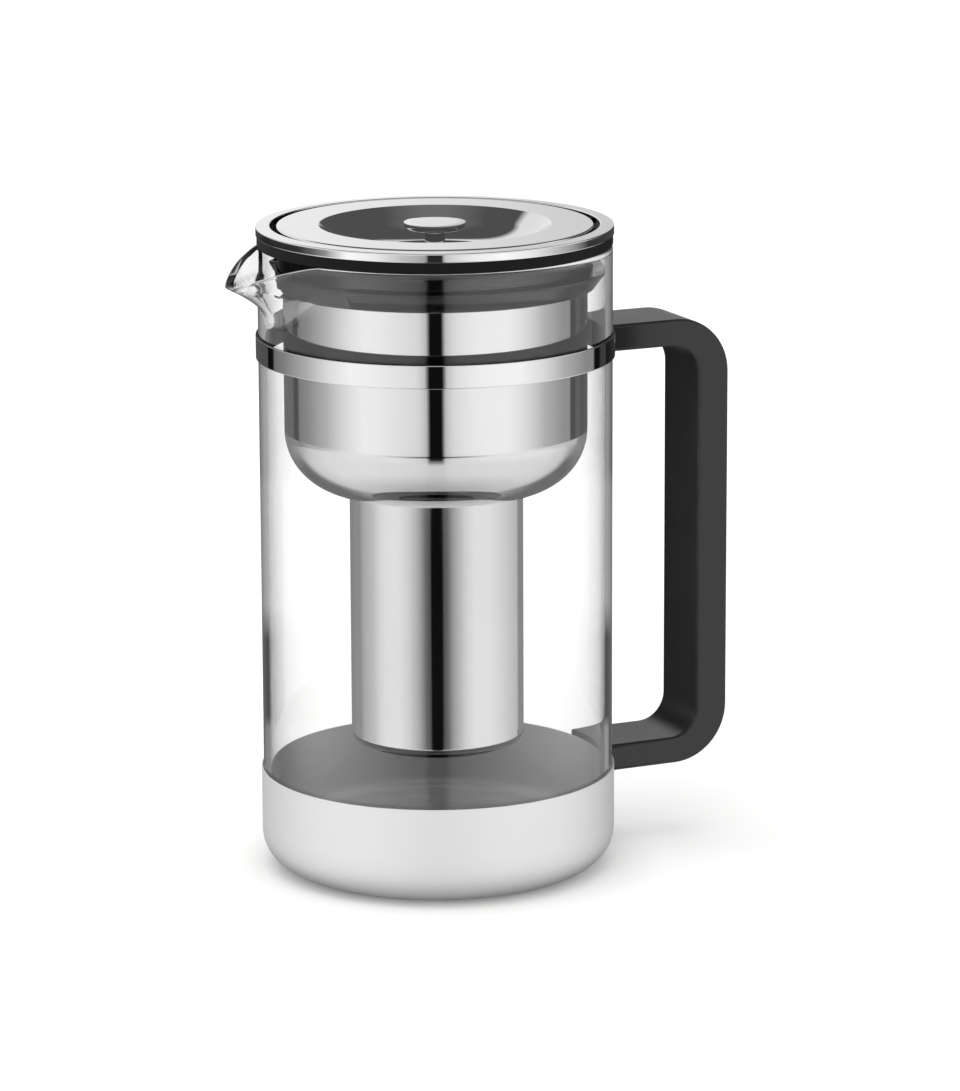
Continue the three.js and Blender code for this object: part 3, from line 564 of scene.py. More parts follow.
def small_circle(radius, segments, x, z):
    """A circle that stands in the XZ plane."""
    bm = bmesh.new()
    place = Matrix.Translation((x, 0, z)) @ Matrix.Rotation(TURN / 4, 4, "X")
    bmesh.ops.create_circle(bm, cap_ends=False, segments=segments, radius=radius, matrix=place)
    return bm


def add_drill(drills, radius, depth, place, segments=32):
    """Adds a round cutter, whose own axis is Z, to the drills."""
    bmesh.ops.create_cone(
        drills, cap_ends=True, segments=segments, radius1=radius, radius2=radius, depth=depth, matrix=place,
    )


def upright_drills(radius, places, low, high):
    """Round cutters that stand upright."""
    drills = bmesh.new()
    for x, y in places:
        add_drill(drills, radius, high - low, Matrix.Translation((x, y, (low + high) / 2)))
    return drills


def level_drill(drills, radius, angle, height, low, high):
    """Adds a round cutter that points away from the axis."""
    place = Matrix.Rotation(angle, 4, "Z") @ Matrix.Translation(((low + high) / 2, 0, height))
    add_drill(drills, radius, high - low, place @ Matrix.Rotation(TURN / 4, 4, "Y"))


def ring_of(count, radius):
    """Places evenly round the axis."""
    return [(radius * math.cos(TURN * i / count), radius * math.sin(TURN * i / count)) for i in range(count)]


def loose_object(name, bm):
    """An object in the scene made from a bmesh, which is used up."""
    mesh = bpy.data.meshes.new(name)
    bm.to_mesh(mesh)
    bm.free()
    made = bpy.data.objects.new(name, mesh)
    bpy.context.scene.collection.objects.link(made)
    return made


def drilled(bm, drills):
    """The shape with the cutters taken out of it."""
    target = loose_object("drill_target", bm)
    tool = loose_object("drill_tool", drills)
    holes = target.modifiers.new("holes", "BOOLEAN")
    holes.operation = "DIFFERENCE"
    holes.solver = "EXACT"
    holes.object = tool
    bpy.context.view_layer.update()
    result = bmesh.new()
    result.from_object(target, bpy.context.evaluated_depsgraph_get())
    for used in (target, tool):
        bpy.data.meshes.remove(used.data)
    return result


def add_piece(name, bm, *nodes, crease=32):
    """Puts a shape in the place of its CAD nodes: it rides on their body and takes their slot's finish."""
    for face in bm.faces:
        face.smooth = True
    for edge in bm.edges:
        edge.smooth = edge.calc_face_angle(0) < math.radians(crease)
    piece = loose_object(name, bm)
    piece.data.materials.append(finish(SLOT_OF[nodes[0]]))
    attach(piece, BODY_OF[nodes[0]])
    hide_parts(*nodes)
    return piece


def dress_node(node, slot=None):
    """Gives a CAD node that keeps its shape a finish."""
    mesh = frame["nodes"][node].data
    mesh.materials.clear()
    mesh.materials.append(finish(slot or SLOT_OF[node]))


def span(node):
    """A round CAD node's outer radius, lowest height and highest height."""
    low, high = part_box(node)
    return high.y, low.z, high.z


class PieceOperator:
    """What the operators share."""

    bl_options = {"REGISTER", "UNDO"}

    def execute(self, context):
        self.build(context.scene.jug_sizes)
        return {"FINISHED"}


class FILTERJUG_OT_glass(PieceOperator, bpy.types.Operator):
    """Blown glass vessel with a pinched pouring beak"""

    bl_idname = "filter_jug.glass"
    bl_label = "Glass"

    def build(self, sizes):
        radius, _, rim = span("glass_jug")
        low = span("glass_floor")[1]
        bore = radius - sizes.glass_wall
        floor = low + sizes.glass_floor
        fire_polish = 0.48 * sizes.glass_wall
        neck = rim - 38 * MM
        bm = outline([
            (0, low, 0), (radius, low, sizes.glass_corner), (radius, neck, 0), (radius, rim, fire_polish),
            (bore, rim, fire_polish), (bore, neck, 0),
            (bore, floor, sizes.glass_corner - sizes.glass_wall), (0, floor, 0),
        ], closed=False)
        upper = [e for e in bm.edges if min(v.co.z for v in e.verts) > neck - MM]
        walls = [e for e in upper if e.calc_length() > 30 * MM]
        bmesh.ops.subdivide_edges(bm, edges=walls, cuts=24)
        spun(bm, 2 * sizes.facets)
        for vert in bm.verts:
            if vert.co.z > neck:
                self.pinch(vert, sizes, radius, rim, neck)
        add_piece("blown_glass", bm, "glass_jug", "glass_floor", crease=60)

    def pinch(self, vert, sizes, radius, rim, neck):
        """Draws a point of the wall out into the beak, and down to the beak's dipping rim."""
        at = math.hypot(vert.co.x, vert.co.y)
        inside = radius - at
        angle = abs(math.atan2(vert.co.y, -vert.co.x))
        soft = sizes.beak_round / (radius + sizes.beak_reach)
        angle = math.hypot(angle, soft) - soft
        side = sizes.beak_width
        along = self.drawn(radius, angle, sizes.beak_reach, side)[1]
        vert.co.z -= sizes.beak_dip * along ** 1.4 * (vert.co.z - neck) / (rim - neck)
        foot = rim - sizes.beak_depth
        rise = (vert.co.z - foot) / (sizes.beak_depth - sizes.beak_dip)
        grown = min(1.0, max(0.0, rise)) ** 2
        if grown < 0.001:
            return
        straight, along = self.drawn(radius, angle, sizes.beak_reach * grown, side * math.sqrt(grown))
        blend = sizes.beak_blend * math.sqrt(grown)
        wall = max(radius, straight) + max(0.0, blend - abs(straight - radius)) ** 2 / (4 * blend)
        wall += 4 * sizes.beak_bulge * grown * along * (1 - along)
        slant = 1 + 0.35 * (wall - radius) / sizes.beak_reach
        scale = (wall - inside * slant) / at
        vert.co.x *= scale
        vert.co.y *= scale

    def drawn(self, radius, angle, reach, side):
        """Radius at an angle, on the line from the beak's tip to the rim, and the share of that line left."""
        tip = radius + reach
        back = tip - math.sqrt(radius ** 2 - side ** 2)
        if angle > math.atan2(back, side):
            return 0.0, 0.0
        straight = tip * side / (side * math.cos(angle) + back * math.sin(angle))
        return straight, max(0.0, 1 - straight * math.sin(angle) / side)


class FILTERJUG_OT_base(PieceOperator, bpy.types.Operator):
    """Satin steel cup round the foot of the glass, with its cushion and its foot pad"""

    bl_idname = "filter_jug.base"
    bl_label = "Base"

    def build(self, sizes):
        radius, low, edge = span("base_cup")
        wall = sizes.sheet
        cup = add_piece("drawn_cup", turned([
            (0, low, 0), (radius, low, sizes.cup_corner), (radius, edge, 0.28 * MM),
            (radius - wall, edge, 0.28 * MM), (radius - wall, low + wall, sizes.cup_corner - wall),
            (0, low + wall, 0),
        ], sizes.facets, closed=False), "base_cup")
        cup.data.materials.append(finish("drawn_steel"))
        bend = Vector((radius - sizes.cup_corner, low + sizes.cup_corner))
        for face in cup.data.polygons:
            across = math.hypot(*face.center.xy) - bend.x
            inside = max(across, 0) * (face.normal @ Vector((face.center.x, face.center.y, 0)).normalized())
            face.material_index = int(inside + min(face.center.z - bend.y, 0) * face.normal.z < 0)
        radius, low, high = span("foot_pad")
        add_piece("foot", turned([
            (0, low, 0), (radius, low, 0.3 * MM), (radius, high, 0.2 * MM), (0, high, 0),
        ], sizes.facets, closed=False), "foot_pad")
        dress_node("base_cushion")


class FILTERJUG_OT_band(PieceOperator, bpy.types.Operator):
    """Polished steel band round the glass, with a black lining"""

    bl_idname = "filter_jug.band"
    bl_label = "Neck band"

    def build(self, sizes):
        radius, low, high = span("neck_band")
        inner = span("glass_jug")[0] + 0.1 * MM
        edge = 0.12 * MM
        piece = add_piece("band", turned([
            (inner, low, edge), (radius, low, edge), (radius, high, edge), (inner, high, edge),
        ], sizes.facets), "neck_band")
        piece.data.materials.append(finish("black_silicone"))
        for face in piece.data.polygons:
            outward = face.normal.x * face.center.x + face.normal.y * face.center.y
            if outward < -0.9 * math.hypot(face.center.x, face.center.y) or abs(face.normal.z) > 0.5:
                face.material_index = 1


class FILTERJUG_OT_handle(PieceOperator, bpy.types.Operator):
    """C-shaped handle with its brackets and screws"""

    bl_idname = "filter_jug.handle"
    bl_label = "Handle"

    def build(self, sizes):
        low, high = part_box("handle")
        inner = high.x - sizes.grip_thickness
        start = sizes.arm_end - (high.y - low.y) / 2
        under = high.z - sizes.arm_thickness
        over = low.z + sizes.arm_thickness
        corner = sizes.handle_corner
        fillet = sizes.handle_fillet
        bm = outline([
            (start, low.z, 0), (high.x, low.z, corner), (high.x, high.z, corner), (start, high.z, 0),
            (start, under, 0), (inner, under, fillet), (inner, over, fillet), (start, over, 0),
        ])
        bmesh.ops.translate(bm, verts=bm.verts, vec=(0, low.y, 0))
        loop = bm.edges[:]
        side = bmesh.ops.edgeloop_fill(bm, edges=loop)["faces"]
        self.widen(bm, side, high.y - low.y, sizes)
        slice_at(bm, (inner - fillet, 0, 0), (1, 0, 0))
        slice_at(bm, (0, 0, low.z + corner), (0, 0, 1))
        slice_at(bm, (0, 0, high.z - corner), (0, 0, 1))
        self.hollow_ends(bm, sizes.arm_end)
        grip = add_piece("grip", bm, "handle")
        grip.visible_glossy = False
        for node in ("upper_bracket", "lower_bracket"):
            dress_node(node)
            frame["nodes"][node].visible_glossy = False
        for node in ("upper_screw", "lower_screw"):
            self.screw(node)

    def widen(self, bm, side, width, sizes):
        """Draws the side view out to the handle's width and rounds its long edges."""
        drawn = bmesh.ops.extrude_face_region(bm, geom=side)["geom"]
        moved = [v for v in drawn if isinstance(v, bmesh.types.BMVert)]
        bmesh.ops.translate(bm, verts=moved, vec=(0, width, 0))
        bmesh.ops.recalc_face_normals(bm, faces=bm.faces)
        sides = [f for f in bm.faces if abs(f.normal.y) > 0.9]
        rims = {e for f in sides for e in f.edges}
        bmesh.ops.bevel(
            bm, geom=list(rims), offset=sizes.handle_edge, offset_type="OFFSET", affect="EDGES", segments=5,
            profile=0.5, material=-1, clamp_overlap=True,
        )
        sides = [f for f in bm.faces if abs(f.normal.y) > 0.99]
        bmesh.ops.inset_region(bm, faces=sides, thickness=0.3 * MM, use_even_offset=True)
        reach = width / 2 - sizes.handle_edge - 0.3 * MM
        for share in range(-6, 7):
            slice_at(bm, (0, share / 6 * reach, 0), (0, 1, 0))

    def hollow_ends(self, bm, radius):
        """Fits the ends of the arms to the round of the jug."""
        for vert in bm.verts:
            if vert.co.x < radius - 12 * MM:
                vert.co.x = math.sqrt(radius ** 2 - vert.co.y ** 2)

    def screw(self, node):
        """Pan-head screw with a hexagon socket, which faces down."""
        low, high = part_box(node)
        middle = (low.x + high.x) / 2
        head = (high.x - low.x) / 2
        shank = 2 * MM
        neck = low.z + 2.6 * MM
        bm = turned([
            (0, low.z, 0), (head, low.z, 0.9 * MM), (head, neck, 0.1 * MM), (shank, neck, 0.2 * MM),
            (shank, high.z, 0.5 * MM), (0, high.z, 0),
        ], 48, closed=False)
        socket = bmesh.new()
        add_drill(socket, 1.5 * MM, 3 * MM, Matrix.Translation((0, 0, low.z)), segments=6)
        bm = drilled(bm, socket)
        bmesh.ops.translate(bm, verts=bm.verts, vec=(middle, 0, 0))
        add_piece(node + "_body", bm, node)


class FILTERJUG_OT_rim(PieceOperator, bpy.types.Operator):
    """Polished ring, black collar and wiper lip that hang in the glass rim"""

    bl_idname = "filter_jug.rim"
    bl_label = "Rim"

    def build(self, sizes):
        self.ring(sizes)
        self.collar(sizes)
        self.wiper(sizes)

    def ring(self, sizes):
        radius, low, high = span("rim_ring")
        bore = radius - 5.9 * MM
        add_piece("ring", turned([
            (bore, low, 0.3 * MM), (radius, low, 0.08 * MM), (radius, high - 0.2 * MM, 0.35 * MM),
            (bore, high, 0.4 * MM),
        ], sizes.facets), "rim_ring")

    def collar(self, sizes):
        radius, low, high = span("collar")
        funnel = span("funnel_bowl")
        neck = funnel[0] - 1.0 * MM
        bore = neck - 2.3 * MM
        ledge = funnel[2] - sizes.sheet
        flange = ledge - 1.2 * MM
        well = funnel[0] + 0.3 * MM
        piece = add_piece("hanging_collar", turned([
            (bore, low, 0.3 * MM), (neck, low, 0.6 * MM), (neck, flange, 0.4 * MM),
            (radius, flange, 0.7 * MM), (radius, high, 0.5 * MM), (well, high, 0.3 * MM),
            (well, ledge, 0.3 * MM), (bore, ledge, 0.3 * MM),
        ], sizes.facets), "collar")
        piece.data.materials.append(finish("black_silicone"))
        for face in piece.data.polygons:
            outer = math.hypot(*face.center.xy) > neck + MM / 2
            face.material_index = int(outer and face.center.z > flange - MM / 10)

    def wiper(self, sizes):
        radius, low, high = span("wiper_seal")
        root = radius - 4.5 * MM
        bore = root - 2.5 * MM
        top = span("collar")[1]
        bm = turned([
            (bore, low, 0.4 * MM), (root, low, 1.5 * MM), (radius, high - 1.1 * MM, 0.3 * MM),
            (radius, high, 0.3 * MM), (radius - 0.9 * MM, high, 0.2 * MM),
            (root + 0.3 * MM, top, 0.2 * MM), (bore, top, 0),
        ], sizes.facets)
        relief = math.radians(35)
        for vert in bm.verts:
            at = math.hypot(vert.co.x, vert.co.y)
            angle = abs(math.atan2(vert.co.y, -vert.co.x))
            if angle < relief and at > root:
                scale = (root + 0.08 * (at - root)) / at
                vert.co.x *= scale
                vert.co.y *= scale
        lip = add_piece("wiper_lip", bm, "wiper_seal")
        lip.data.materials[0] = finish("gloss_silicone")


class FILTERJUG_OT_reservoir(PieceOperator, bpy.types.Operator):
    """Polished funnel and sleeve, with the seat that the cartridge drops into"""

    bl_idname = "filter_jug.reservoir"
    bl_label = "Funnel and sleeve"

    def build(self, sizes):
        self.funnel(sizes)
        self.sleeve(sizes)
        self.seat(sizes)

    def funnel(self, sizes):
        flange, low, high = span("funnel_bowl")
        radius = flange - 3.2 * MM
        hole = span("filter_sleeve")[0] - 3 * MM
        wall = sizes.sheet
        add_piece("funnel", turned([
            (hole, low, 0), (radius, low, sizes.funnel_corner), (radius, high - wall, 0.5 * MM),
            (flange, high - wall, 0.2 * MM), (flange, high, 0.2 * MM), (radius - wall, high, sizes.fold),
            (radius - wall, low + wall, sizes.funnel_corner - wall), (hole, low + wall, 0),
        ], sizes.facets), "funnel_bowl")

    def sleeve(self, sizes):
        radius, low, high = span("filter_sleeve")
        wall = sizes.sheet
        bend = 4 * MM
        bm = turned([
            (0, low, 0), (radius, low, bend), (radius, high, 0.1 * MM), (radius - wall, high, 0.1 * MM),
            (radius - wall, low + wall, bend - wall), (0, low + wall, 0),
        ], sizes.facets, closed=False)
        drills = upright_drills(5 * MM, [(0, 0)] + ring_of(6, 20 * MM), low - MM, low + wall + MM)
        add_piece("sleeve", drilled(bm, drills), "filter_sleeve")

    def seat(self, sizes):
        flange, low, high = span("cartridge_seat")
        outer = span("filter_sleeve")[0] - 3.3 * MM
        under = span("funnel_bowl")[1] + sizes.sheet
        collar = 30.8 * MM
        bore = 28.2 * MM
        cone = span("cartridge_can")[2] - 21.1 * MM
        add_piece("seat_grommet", turned([
            (bore, low, 0.3 * MM), (outer, low, 0.5 * MM), (outer, under, 0.2 * MM),
            (flange, under, 0.2 * MM), (flange, high, 0.6 * MM), (collar, high, 0.4 * MM),
            (collar, cone + collar - bore, 0.2 * MM), (bore, cone, 0.2 * MM),
        ], sizes.facets), "cartridge_seat")


class FILTERJUG_OT_lid(PieceOperator, bpy.types.Operator):
    """Dished steel lid with its gasket"""

    bl_idname = "filter_jug.lid"
    bl_label = "Lid"

    def build(self, sizes):
        radius, low, high = span("lid_plate")
        wall = sizes.sheet
        skirt = high - 5.6 * MM
        dish = sizes.dish_radius
        foot = dish - sizes.dish_wall
        floor = low + wall
        bore = 2.05 * MM
        add_piece("dished_lid", turned([
            (bore, floor, 0), (foot, floor, 24 * MM), (dish, high, 0.5 * MM), (radius, high, sizes.fold),
            (radius, skirt, 0.1 * MM), (radius - wall, skirt, 0.1 * MM),
            (radius - wall, high - wall, 0.4 * MM), (dish + wall / 2, high - wall, 0.9 * MM),
            (foot + wall / 2, low, 24 * MM), (bore, low, 0),
        ], sizes.facets), "lid_plate")
        radius, low, high = span("lid_gasket")
        width = 2.5 * MM
        add_piece("gasket", turned([
            (radius - width, low, 0.8 * MM), (radius, low, 0.8 * MM), (radius, high, 0.2 * MM),
            (radius - width, high, 0.2 * MM),
        ], sizes.facets), "lid_gasket")


class FILTERJUG_OT_knob(PieceOperator, bpy.types.Operator):
    """Polished mushroom knob with the screw that holds it"""

    bl_idname = "filter_jug.knob"
    bl_label = "Knob"

    def build(self, sizes):
        radius, low, high = span("knob_cap")
        foot, floor, _ = span("knob_stem")
        waist = 0.95 * foot
        low -= 1.2 * MM
        add_piece("mushroom_cap", turned([
            (0, low, 0), (radius, low, 2.6 * MM), (radius, high - 0.15 * MM, 0.1 * MM),
            (0.8 * radius, high, 3 * MM), (0, high, 0),
        ], sizes.facets // 2, closed=False), "knob_cap")
        add_piece("waisted_stem", turned([
            (0, low, 0), (foot, low, 0.05 * MM), (waist, low - 1.2 * MM, 1.5 * MM),
            (waist, floor + 3.2 * MM, 4 * MM), (foot, floor + 0.5 * MM, 0.3 * MM), (foot, floor, 0),
            (0, floor, 0),
        ], sizes.facets // 2, closed=False), "knob_stem")
        dress_node("knob_washer")
        self.screw()

    def screw(self):
        head, low, high = span("knob_screw")
        shank = 1.75 * MM
        neck = low + 2.2 * MM
        bm = turned([
            (0, low, 0), (head, low, 0.8 * MM), (head, neck, 0.1 * MM), (shank, neck, 0.1 * MM),
            (shank, high, 0.4 * MM), (0, high, 0),
        ], 48, closed=False)
        socket = bmesh.new()
        add_drill(socket, 1.6 * MM, 2.6 * MM, Matrix.Translation((0, 0, low)), segments=6)
        add_piece("lid_screw", drilled(bm, socket), "knob_screw")


class FILTERJUG_OT_cartridge(PieceOperator, bpy.types.Operator):
    """Brushed steel can with its inlet holes, screen and granules"""

    bl_idname = "filter_jug.cartridge"
    bl_label = "Cartridge"

    def build(self, sizes):
        rim, low, high = span("cartridge_can")
        wall = sizes.sheet
        collar = rim - 2 * MM
        body = 27 * MM
        neck = 25.6 * MM
        step = span("cap_o_ring")[2] + 0.3 * MM
        shoulder = high - 22 * MM
        cone = shoulder + collar - body
        flare = high - 3.5 * MM
        bm = turned([
            (neck, low, 0.1 * MM), (neck, step, 0), (body, step, 0.3 * MM), (body, shoulder, 2 * MM),
            (collar, cone, 2 * MM), (collar, flare, 2 * MM), (rim, high - 0.8 * MM, 0.3 * MM),
            (rim, high, 0.25 * MM), (rim - wall, high, 0.25 * MM), (collar - wall, flare, 2 * MM),
            (collar - wall, cone, 2 * MM), (body - wall, shoulder, 2 * MM),
            (body - wall, step + wall, 0.2 * MM), (neck - wall, step + wall, 0),
            (neck - wall, low, 0.1 * MM),
        ], sizes.facets)
        drills = bmesh.new()
        for i in range(6):
            level_drill(drills, 3.4 * MM, TURN * i / 6, high - 8.4 * MM, collar - 3 * MM, collar + 3 * MM)
        for angle in (TURN / 4, -TURN / 4):
            level_drill(drills, 1.3 * MM, angle, high - 8 * MM, collar - 3 * MM, collar + 3 * MM)
        add_piece("can", drilled(bm, drills), "cartridge_can")
        self.screen(sizes)
        dress_node("filter_granules")

    def screen(self, sizes):
        radius, low, high = span("inlet_screen")
        bm = turned([
            (0, low, 0), (radius, low, 0.2 * MM), (radius, high, 0.3 * MM), (0, high, 0),
        ], 96, closed=False)
        holes = [(0, 0)]
        for row in range(1, 5):
            holes += ring_of(6 * row, 5.4 * row * MM)
        drills = upright_drills(1.5 * MM, holes, low - MM, high + MM)
        add_piece("perforated_screen", drilled(bm, drills), "inlet_screen")


class FILTERJUG_OT_bail(PieceOperator, bpy.types.Operator):
    """Bent wire bail that lifts the cartridge"""

    bl_idname = "filter_jug.bail"
    bl_label = "Bail"

    def build(self, sizes):
        low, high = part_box("bail")
        wire = (high.x - low.x) / 2
        pivot = low.z + wire
        top = high.z - wire
        leg = 28.3 * MM
        rise = top - pivot
        half = [
            (high.y, 0, 0), (leg, 0, 1.2 * MM), (0.985 * leg, 0.3 * rise, 12 * MM),
            (0.84 * leg, 0.72 * rise, 12 * MM), (0.52 * leg, rise, 5 * MM),
        ]
        points = half + [(-y, z, corner) for y, z, corner in reversed(half)]
        path = outline([(y, pivot + z, corner) for y, z, corner in points], closed=False)
        add_piece("wire_bail", self.thickened(path, wire), "bail")

    def thickened(self, path, wire):
        """A round wire along an open chain of edges in the XZ plane, turned into the YZ plane."""
        curve = bpy.data.curves.new("bail_path", "CURVE")
        curve.dimensions = "3D"
        curve.bevel_depth = wire
        curve.bevel_resolution = 5
        curve.use_fill_caps = True
        chain = [v for v in path.verts if len(v.link_edges) == 1][:1]
        edge = chain[0].link_edges[0]
        while True:
            chain.append(edge.other_vert(chain[-1]))
            onward = [e for e in chain[-1].link_edges if e != edge]
            if not onward:
                break
            edge = onward[0]
        spline = curve.splines.new("POLY")
        spline.points.add(len(chain) - 1)
        for point, vert in zip(spline.points, chain):
            point.co = (0, vert.co.x, vert.co.z, 1)
        path.free()
        holder = bpy.data.objects.new("bail_path", curve)
        bm = bmesh.new()
        bm.from_mesh(holder.to_mesh())
        bpy.data.objects.remove(holder)
        bpy.data.curves.remove(curve)
        bmesh.ops.remove_doubles(bm, verts=bm.verts, dist=MM / 1000)
        bmesh.ops.recalc_face_normals(bm, faces=bm.faces)
        return bm


class FILTERJUG_OT_screw_cap(PieceOperator, bpy.types.Operator):
    """Screw cap with its rolled thread, outlet holes, mesh and sealing ring"""

    bl_idname = "filter_jug.screw_cap"
    bl_label = "Screw cap"

    def build(self, sizes):
        crest, low, high = span("cartridge_cap")
        radius = crest - 0.7 * MM
        bore = 25.9 * MM
        corner = 9 * MM
        floor = low + 2.2 * MM
        bm = turned([
            (0, low, 0), (radius, low, corner), (radius, high, 0.4 * MM), (bore, high, 0.3 * MM),
            (bore, floor, corner - 2.2 * MM), (0, floor, 0),
        ], sizes.facets, closed=False)
        bm = drilled(bm, upright_drills(2.6 * MM, [(0, 0)] + ring_of(6, 11 * MM), low - MM, floor + MM))
        self.thread(bm, sizes, radius, high - 5.5 * MM)
        add_piece("threaded_cap", bm, "cartridge_cap")
        dress_node("outlet_mesh", "woven_mesh")
        self.o_ring(sizes)

    def thread(self, bm, sizes, radius, top):
        """Rolls a half-round ridge twice round the cap, climbing by its pitch."""
        turns = 1.9
        ridge = small_circle(1.0 * MM, 12, radius - 0.3 * MM, top - 2 * sizes.ridge_pitch)
        steps = 2 * sizes.facets
        bmesh.ops.spin(
            ridge, geom=ridge.verts[:] + ridge.edges[:], cent=(0, 0, 0), axis=(0, 0, 1), angle=turns * TURN,
            steps=steps, dvec=(0, 0, turns * sizes.ridge_pitch / steps), use_merge=False,
        )
        bmesh.ops.holes_fill(ridge, edges=ridge.edges, sides=12)
        bmesh.ops.recalc_face_normals(ridge, faces=ridge.faces)
        scratch = bpy.data.meshes.new("thread")
        ridge.to_mesh(scratch)
        ridge.free()
        bm.from_mesh(scratch)
        bpy.data.meshes.remove(scratch)

    def o_ring(self, sizes):
        radius, low, high = span("cap_o_ring")
        section = (high - low) / 2
        bm = small_circle(section, 16, radius - section, low + section)
        add_piece("o_ring", spun(bm, sizes.facets), "cap_o_ring")


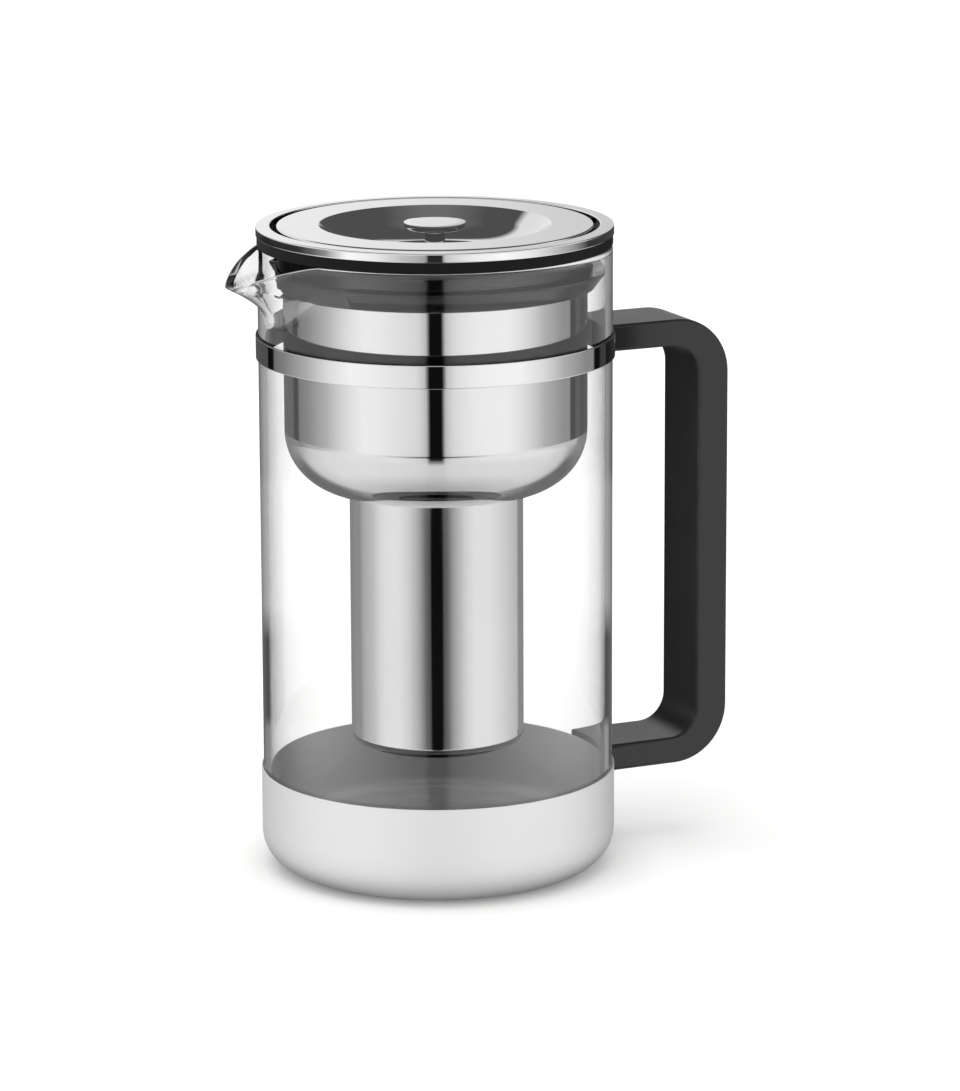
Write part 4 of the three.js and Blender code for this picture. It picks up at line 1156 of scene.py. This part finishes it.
class FILTERJUG_OT_stage(bpy.types.Operator):
    """Camera, floor, lamp and studio surroundings"""

    bl_idname = "filter_jug.stage"
    bl_label = "Stage"

    def execute(self, context):
        self.camera(context.scene)
        self.floor(context.scene)
        self.lamp(context.scene)
        self.flag(context.scene)
        self.surroundings(context.scene)
        context.scene.view_settings.view_transform = "Standard"
        return {"FINISHED"}

    def camera(self, scene):
        lens = bpy.data.cameras.new("camera")
        lens.sensor_fit = "VERTICAL"
        lens.sensor_height = SENSOR
        lens.lens = LENS
        lens.clip_end = 50
        camera = bpy.data.objects.new("camera", lens)
        turn = Matrix.Rotation(math.radians(CAMERA_TURN), 4, "Z")
        tilt = Matrix.Rotation(math.radians(CAMERA_TILT), 4, "X")
        roll = Matrix.Rotation(math.radians(CAMERA_ROLL), 4, "Z")
        camera.matrix_world = Matrix.Translation(CAMERA_PLACE) @ turn @ tilt @ roll
        scene.collection.objects.link(camera)
        scene.camera = camera

    def floor(self, scene):
        bm = bmesh.new()
        bmesh.ops.create_grid(bm, x_segments=1, y_segments=1, size=FLOOR_HALF)
        floor = loose_object("floor", bm)
        floor.data.materials.append(new_finish(painted_floor, scene.jug_colours))

    def lamp(self, scene):
        """One large softbox, high on the left, for the soft shadow."""
        light = bpy.data.lights.new("softbox", "AREA")
        light.shape = "RECTANGLE"
        light.size = LAMP_SIZE
        light.size_y = LAMP_SIZE
        light.energy = LAMP_POWER
        lamp = bpy.data.objects.new("softbox", light)
        lamp.location = LAMP_PLACE
        aim = Vector(LAMP_AIM) - lamp.location
        lamp.rotation_euler = aim.to_track_quat("-Z", "Y").to_euler()
        lamp.visible_glossy = False
        lamp.visible_transmission = False
        scene.collection.objects.link(lamp)

    def flag(self, scene):
        """A black card behind the handle, for mirror images alone. It keeps the grip's inner face dark."""
        upright = Matrix.Rotation(TURN / 4, 4, "X")
        place = Matrix.Translation(CARD_PLACE) @ upright @ Matrix.Diagonal(CARD_HALF)
        bm = bmesh.new()
        bmesh.ops.create_grid(bm, x_segments=1, y_segments=1, size=1, matrix=place)
        card = loose_object("flag", bm)
        card.data.materials.append(new_finish(black_card, scene.jug_colours))
        card.visible_camera = False
        card.visible_diffuse = False
        card.visible_transmission = False
        card.visible_shadow = False

    def surroundings(self, scene):
        """The studio for mirror images, an even glow for matt surfaces, and white behind."""
        world = bpy.data.worlds.new("studio")
        world.use_nodes = True
        tree = world.node_tree
        tree.nodes.clear()
        place = add_node(tree, "ShaderNodeTexCoord").outputs["Generated"]
        bearing = self.bearing(tree, place)
        parts = add_node(tree, "ShaderNodeSeparateXYZ", {"Vector": place})
        climb = add_node(tree, "ShaderNodeMath", {0: parts.outputs["Z"]}, operation="ARCSINE")
        seen = (STUDIO_UNDER, STUDIO_UNDER, STUDIO_UNDER, 1.0)
        for start, end, levels in STUDIO:
            wall = add_node(
                tree, "ShaderNodeValToRGB", {"Fac": bearing},
                stops=[(0.5 + angle / 360, level) for angle, level in levels],
            )
            share = add_node(tree, "ShaderNodeMapRange", {
                "Value": climb.outputs["Value"],
                "From Min": math.radians(start), "From Max": math.radians(end),
            })
            layer = add_node(tree, "ShaderNodeMix", {
                "Factor": share.outputs["Result"], 6: seen, 7: wall.outputs["Color"],
            }, data_type="RGBA")
            seen = layer.outputs[2]
        path = add_node(tree, "ShaderNodeLightPath")
        mirrored = add_node(tree, "ShaderNodeMath", {
            0: path.outputs["Glossy Depth"], 1: 0.5,
        }, operation="GREATER_THAN")
        even = add_node(tree, "ShaderNodeMapRange", {
            "Value": path.outputs["Is Diffuse Ray"], "To Min": 1.0, "To Max": EVEN_GLOW,
        })
        sky = add_node(tree, "ShaderNodeMix", {
            "Factor": mirrored.outputs["Value"], 6: even.outputs["Result"], 7: seen,
        }, data_type="RGBA")
        glow = add_node(tree, "ShaderNodeBackground", {"Color": sky.outputs[2], "Strength": 1.0})
        add_node(tree, "ShaderNodeOutputWorld", {"Surface": glow.outputs["Background"]})
        scene.world = world

    def bearing(self, tree, place):
        """Where a direction points round the studio: 0.5 towards the camera, 0 and 1 away from it."""
        facing = math.radians(STUDIO_FACING)
        across = (math.cos(facing), math.sin(facing), 0)
        towards = (math.sin(facing), -math.cos(facing), 0)
        aside = add_node(tree, "ShaderNodeVectorMath", {0: place, 1: across}, operation="DOT_PRODUCT")
        ahead = add_node(tree, "ShaderNodeVectorMath", {0: place, 1: towards}, operation="DOT_PRODUCT")
        swing = add_node(tree, "ShaderNodeMath", {
            0: aside.outputs["Value"], 1: ahead.outputs["Value"],
        }, operation="ARCTAN2")
        turned_by = add_node(tree, "ShaderNodeMapRange", {
            "Value": swing.outputs["Value"], "From Min": -math.pi, "From Max": math.pi,
        })
        return turned_by.outputs["Result"]


PIECES = (
    FILTERJUG_OT_glass, FILTERJUG_OT_base, FILTERJUG_OT_band, FILTERJUG_OT_handle, FILTERJUG_OT_rim,
    FILTERJUG_OT_reservoir, FILTERJUG_OT_lid, FILTERJUG_OT_knob, FILTERJUG_OT_cartridge, FILTERJUG_OT_bail,
    FILTERJUG_OT_screw_cap, FILTERJUG_OT_stage,
)


class FILTERJUG_PT_panel(bpy.types.Panel):
    """Lists the jug's pieces, sizes and colours"""

    bl_idname = "FILTERJUG_PT_panel"
    bl_label = "Filter Jug"
    bl_space_type = "VIEW_3D"
    bl_region_type = "UI"
    bl_category = "Filter Jug"

    def draw(self, context):
        for group in (context.scene.jug_sizes, context.scene.jug_colours):
            for name in group.__annotations__:
                self.layout.prop(group, name)
        for piece in PIECES:
            self.layout.operator(piece.bl_idname)


CLASSES = (JugSizes, JugColours) + PIECES + (FILTERJUG_PT_panel,)


def register():
    for each in CLASSES:
        bpy.utils.register_class(each)
    bpy.types.Scene.jug_sizes = bpy.props.PointerProperty(type=JugSizes)
    bpy.types.Scene.jug_colours = bpy.props.PointerProperty(type=JugColours)


def unregister():
    del bpy.types.Scene.jug_colours
    del bpy.types.Scene.jug_sizes
    for each in reversed(CLASSES):
        bpy.utils.unregister_class(each)


def main():
    register()
    bpy.ops.filter_jug.stage()
    bpy.ops.filter_jug.glass()
    bpy.ops.filter_jug.base()
    bpy.ops.filter_jug.band()
    bpy.ops.filter_jug.handle()
    bpy.ops.filter_jug.rim()
    bpy.ops.filter_jug.reservoir()
    bpy.ops.filter_jug.lid()
    bpy.ops.filter_jug.knob()
    bpy.ops.filter_jug.cartridge()
    bpy.ops.filter_jug.bail()
    bpy.ops.filter_jug.screw_cap()


if __name__ == "__main__":
    main()
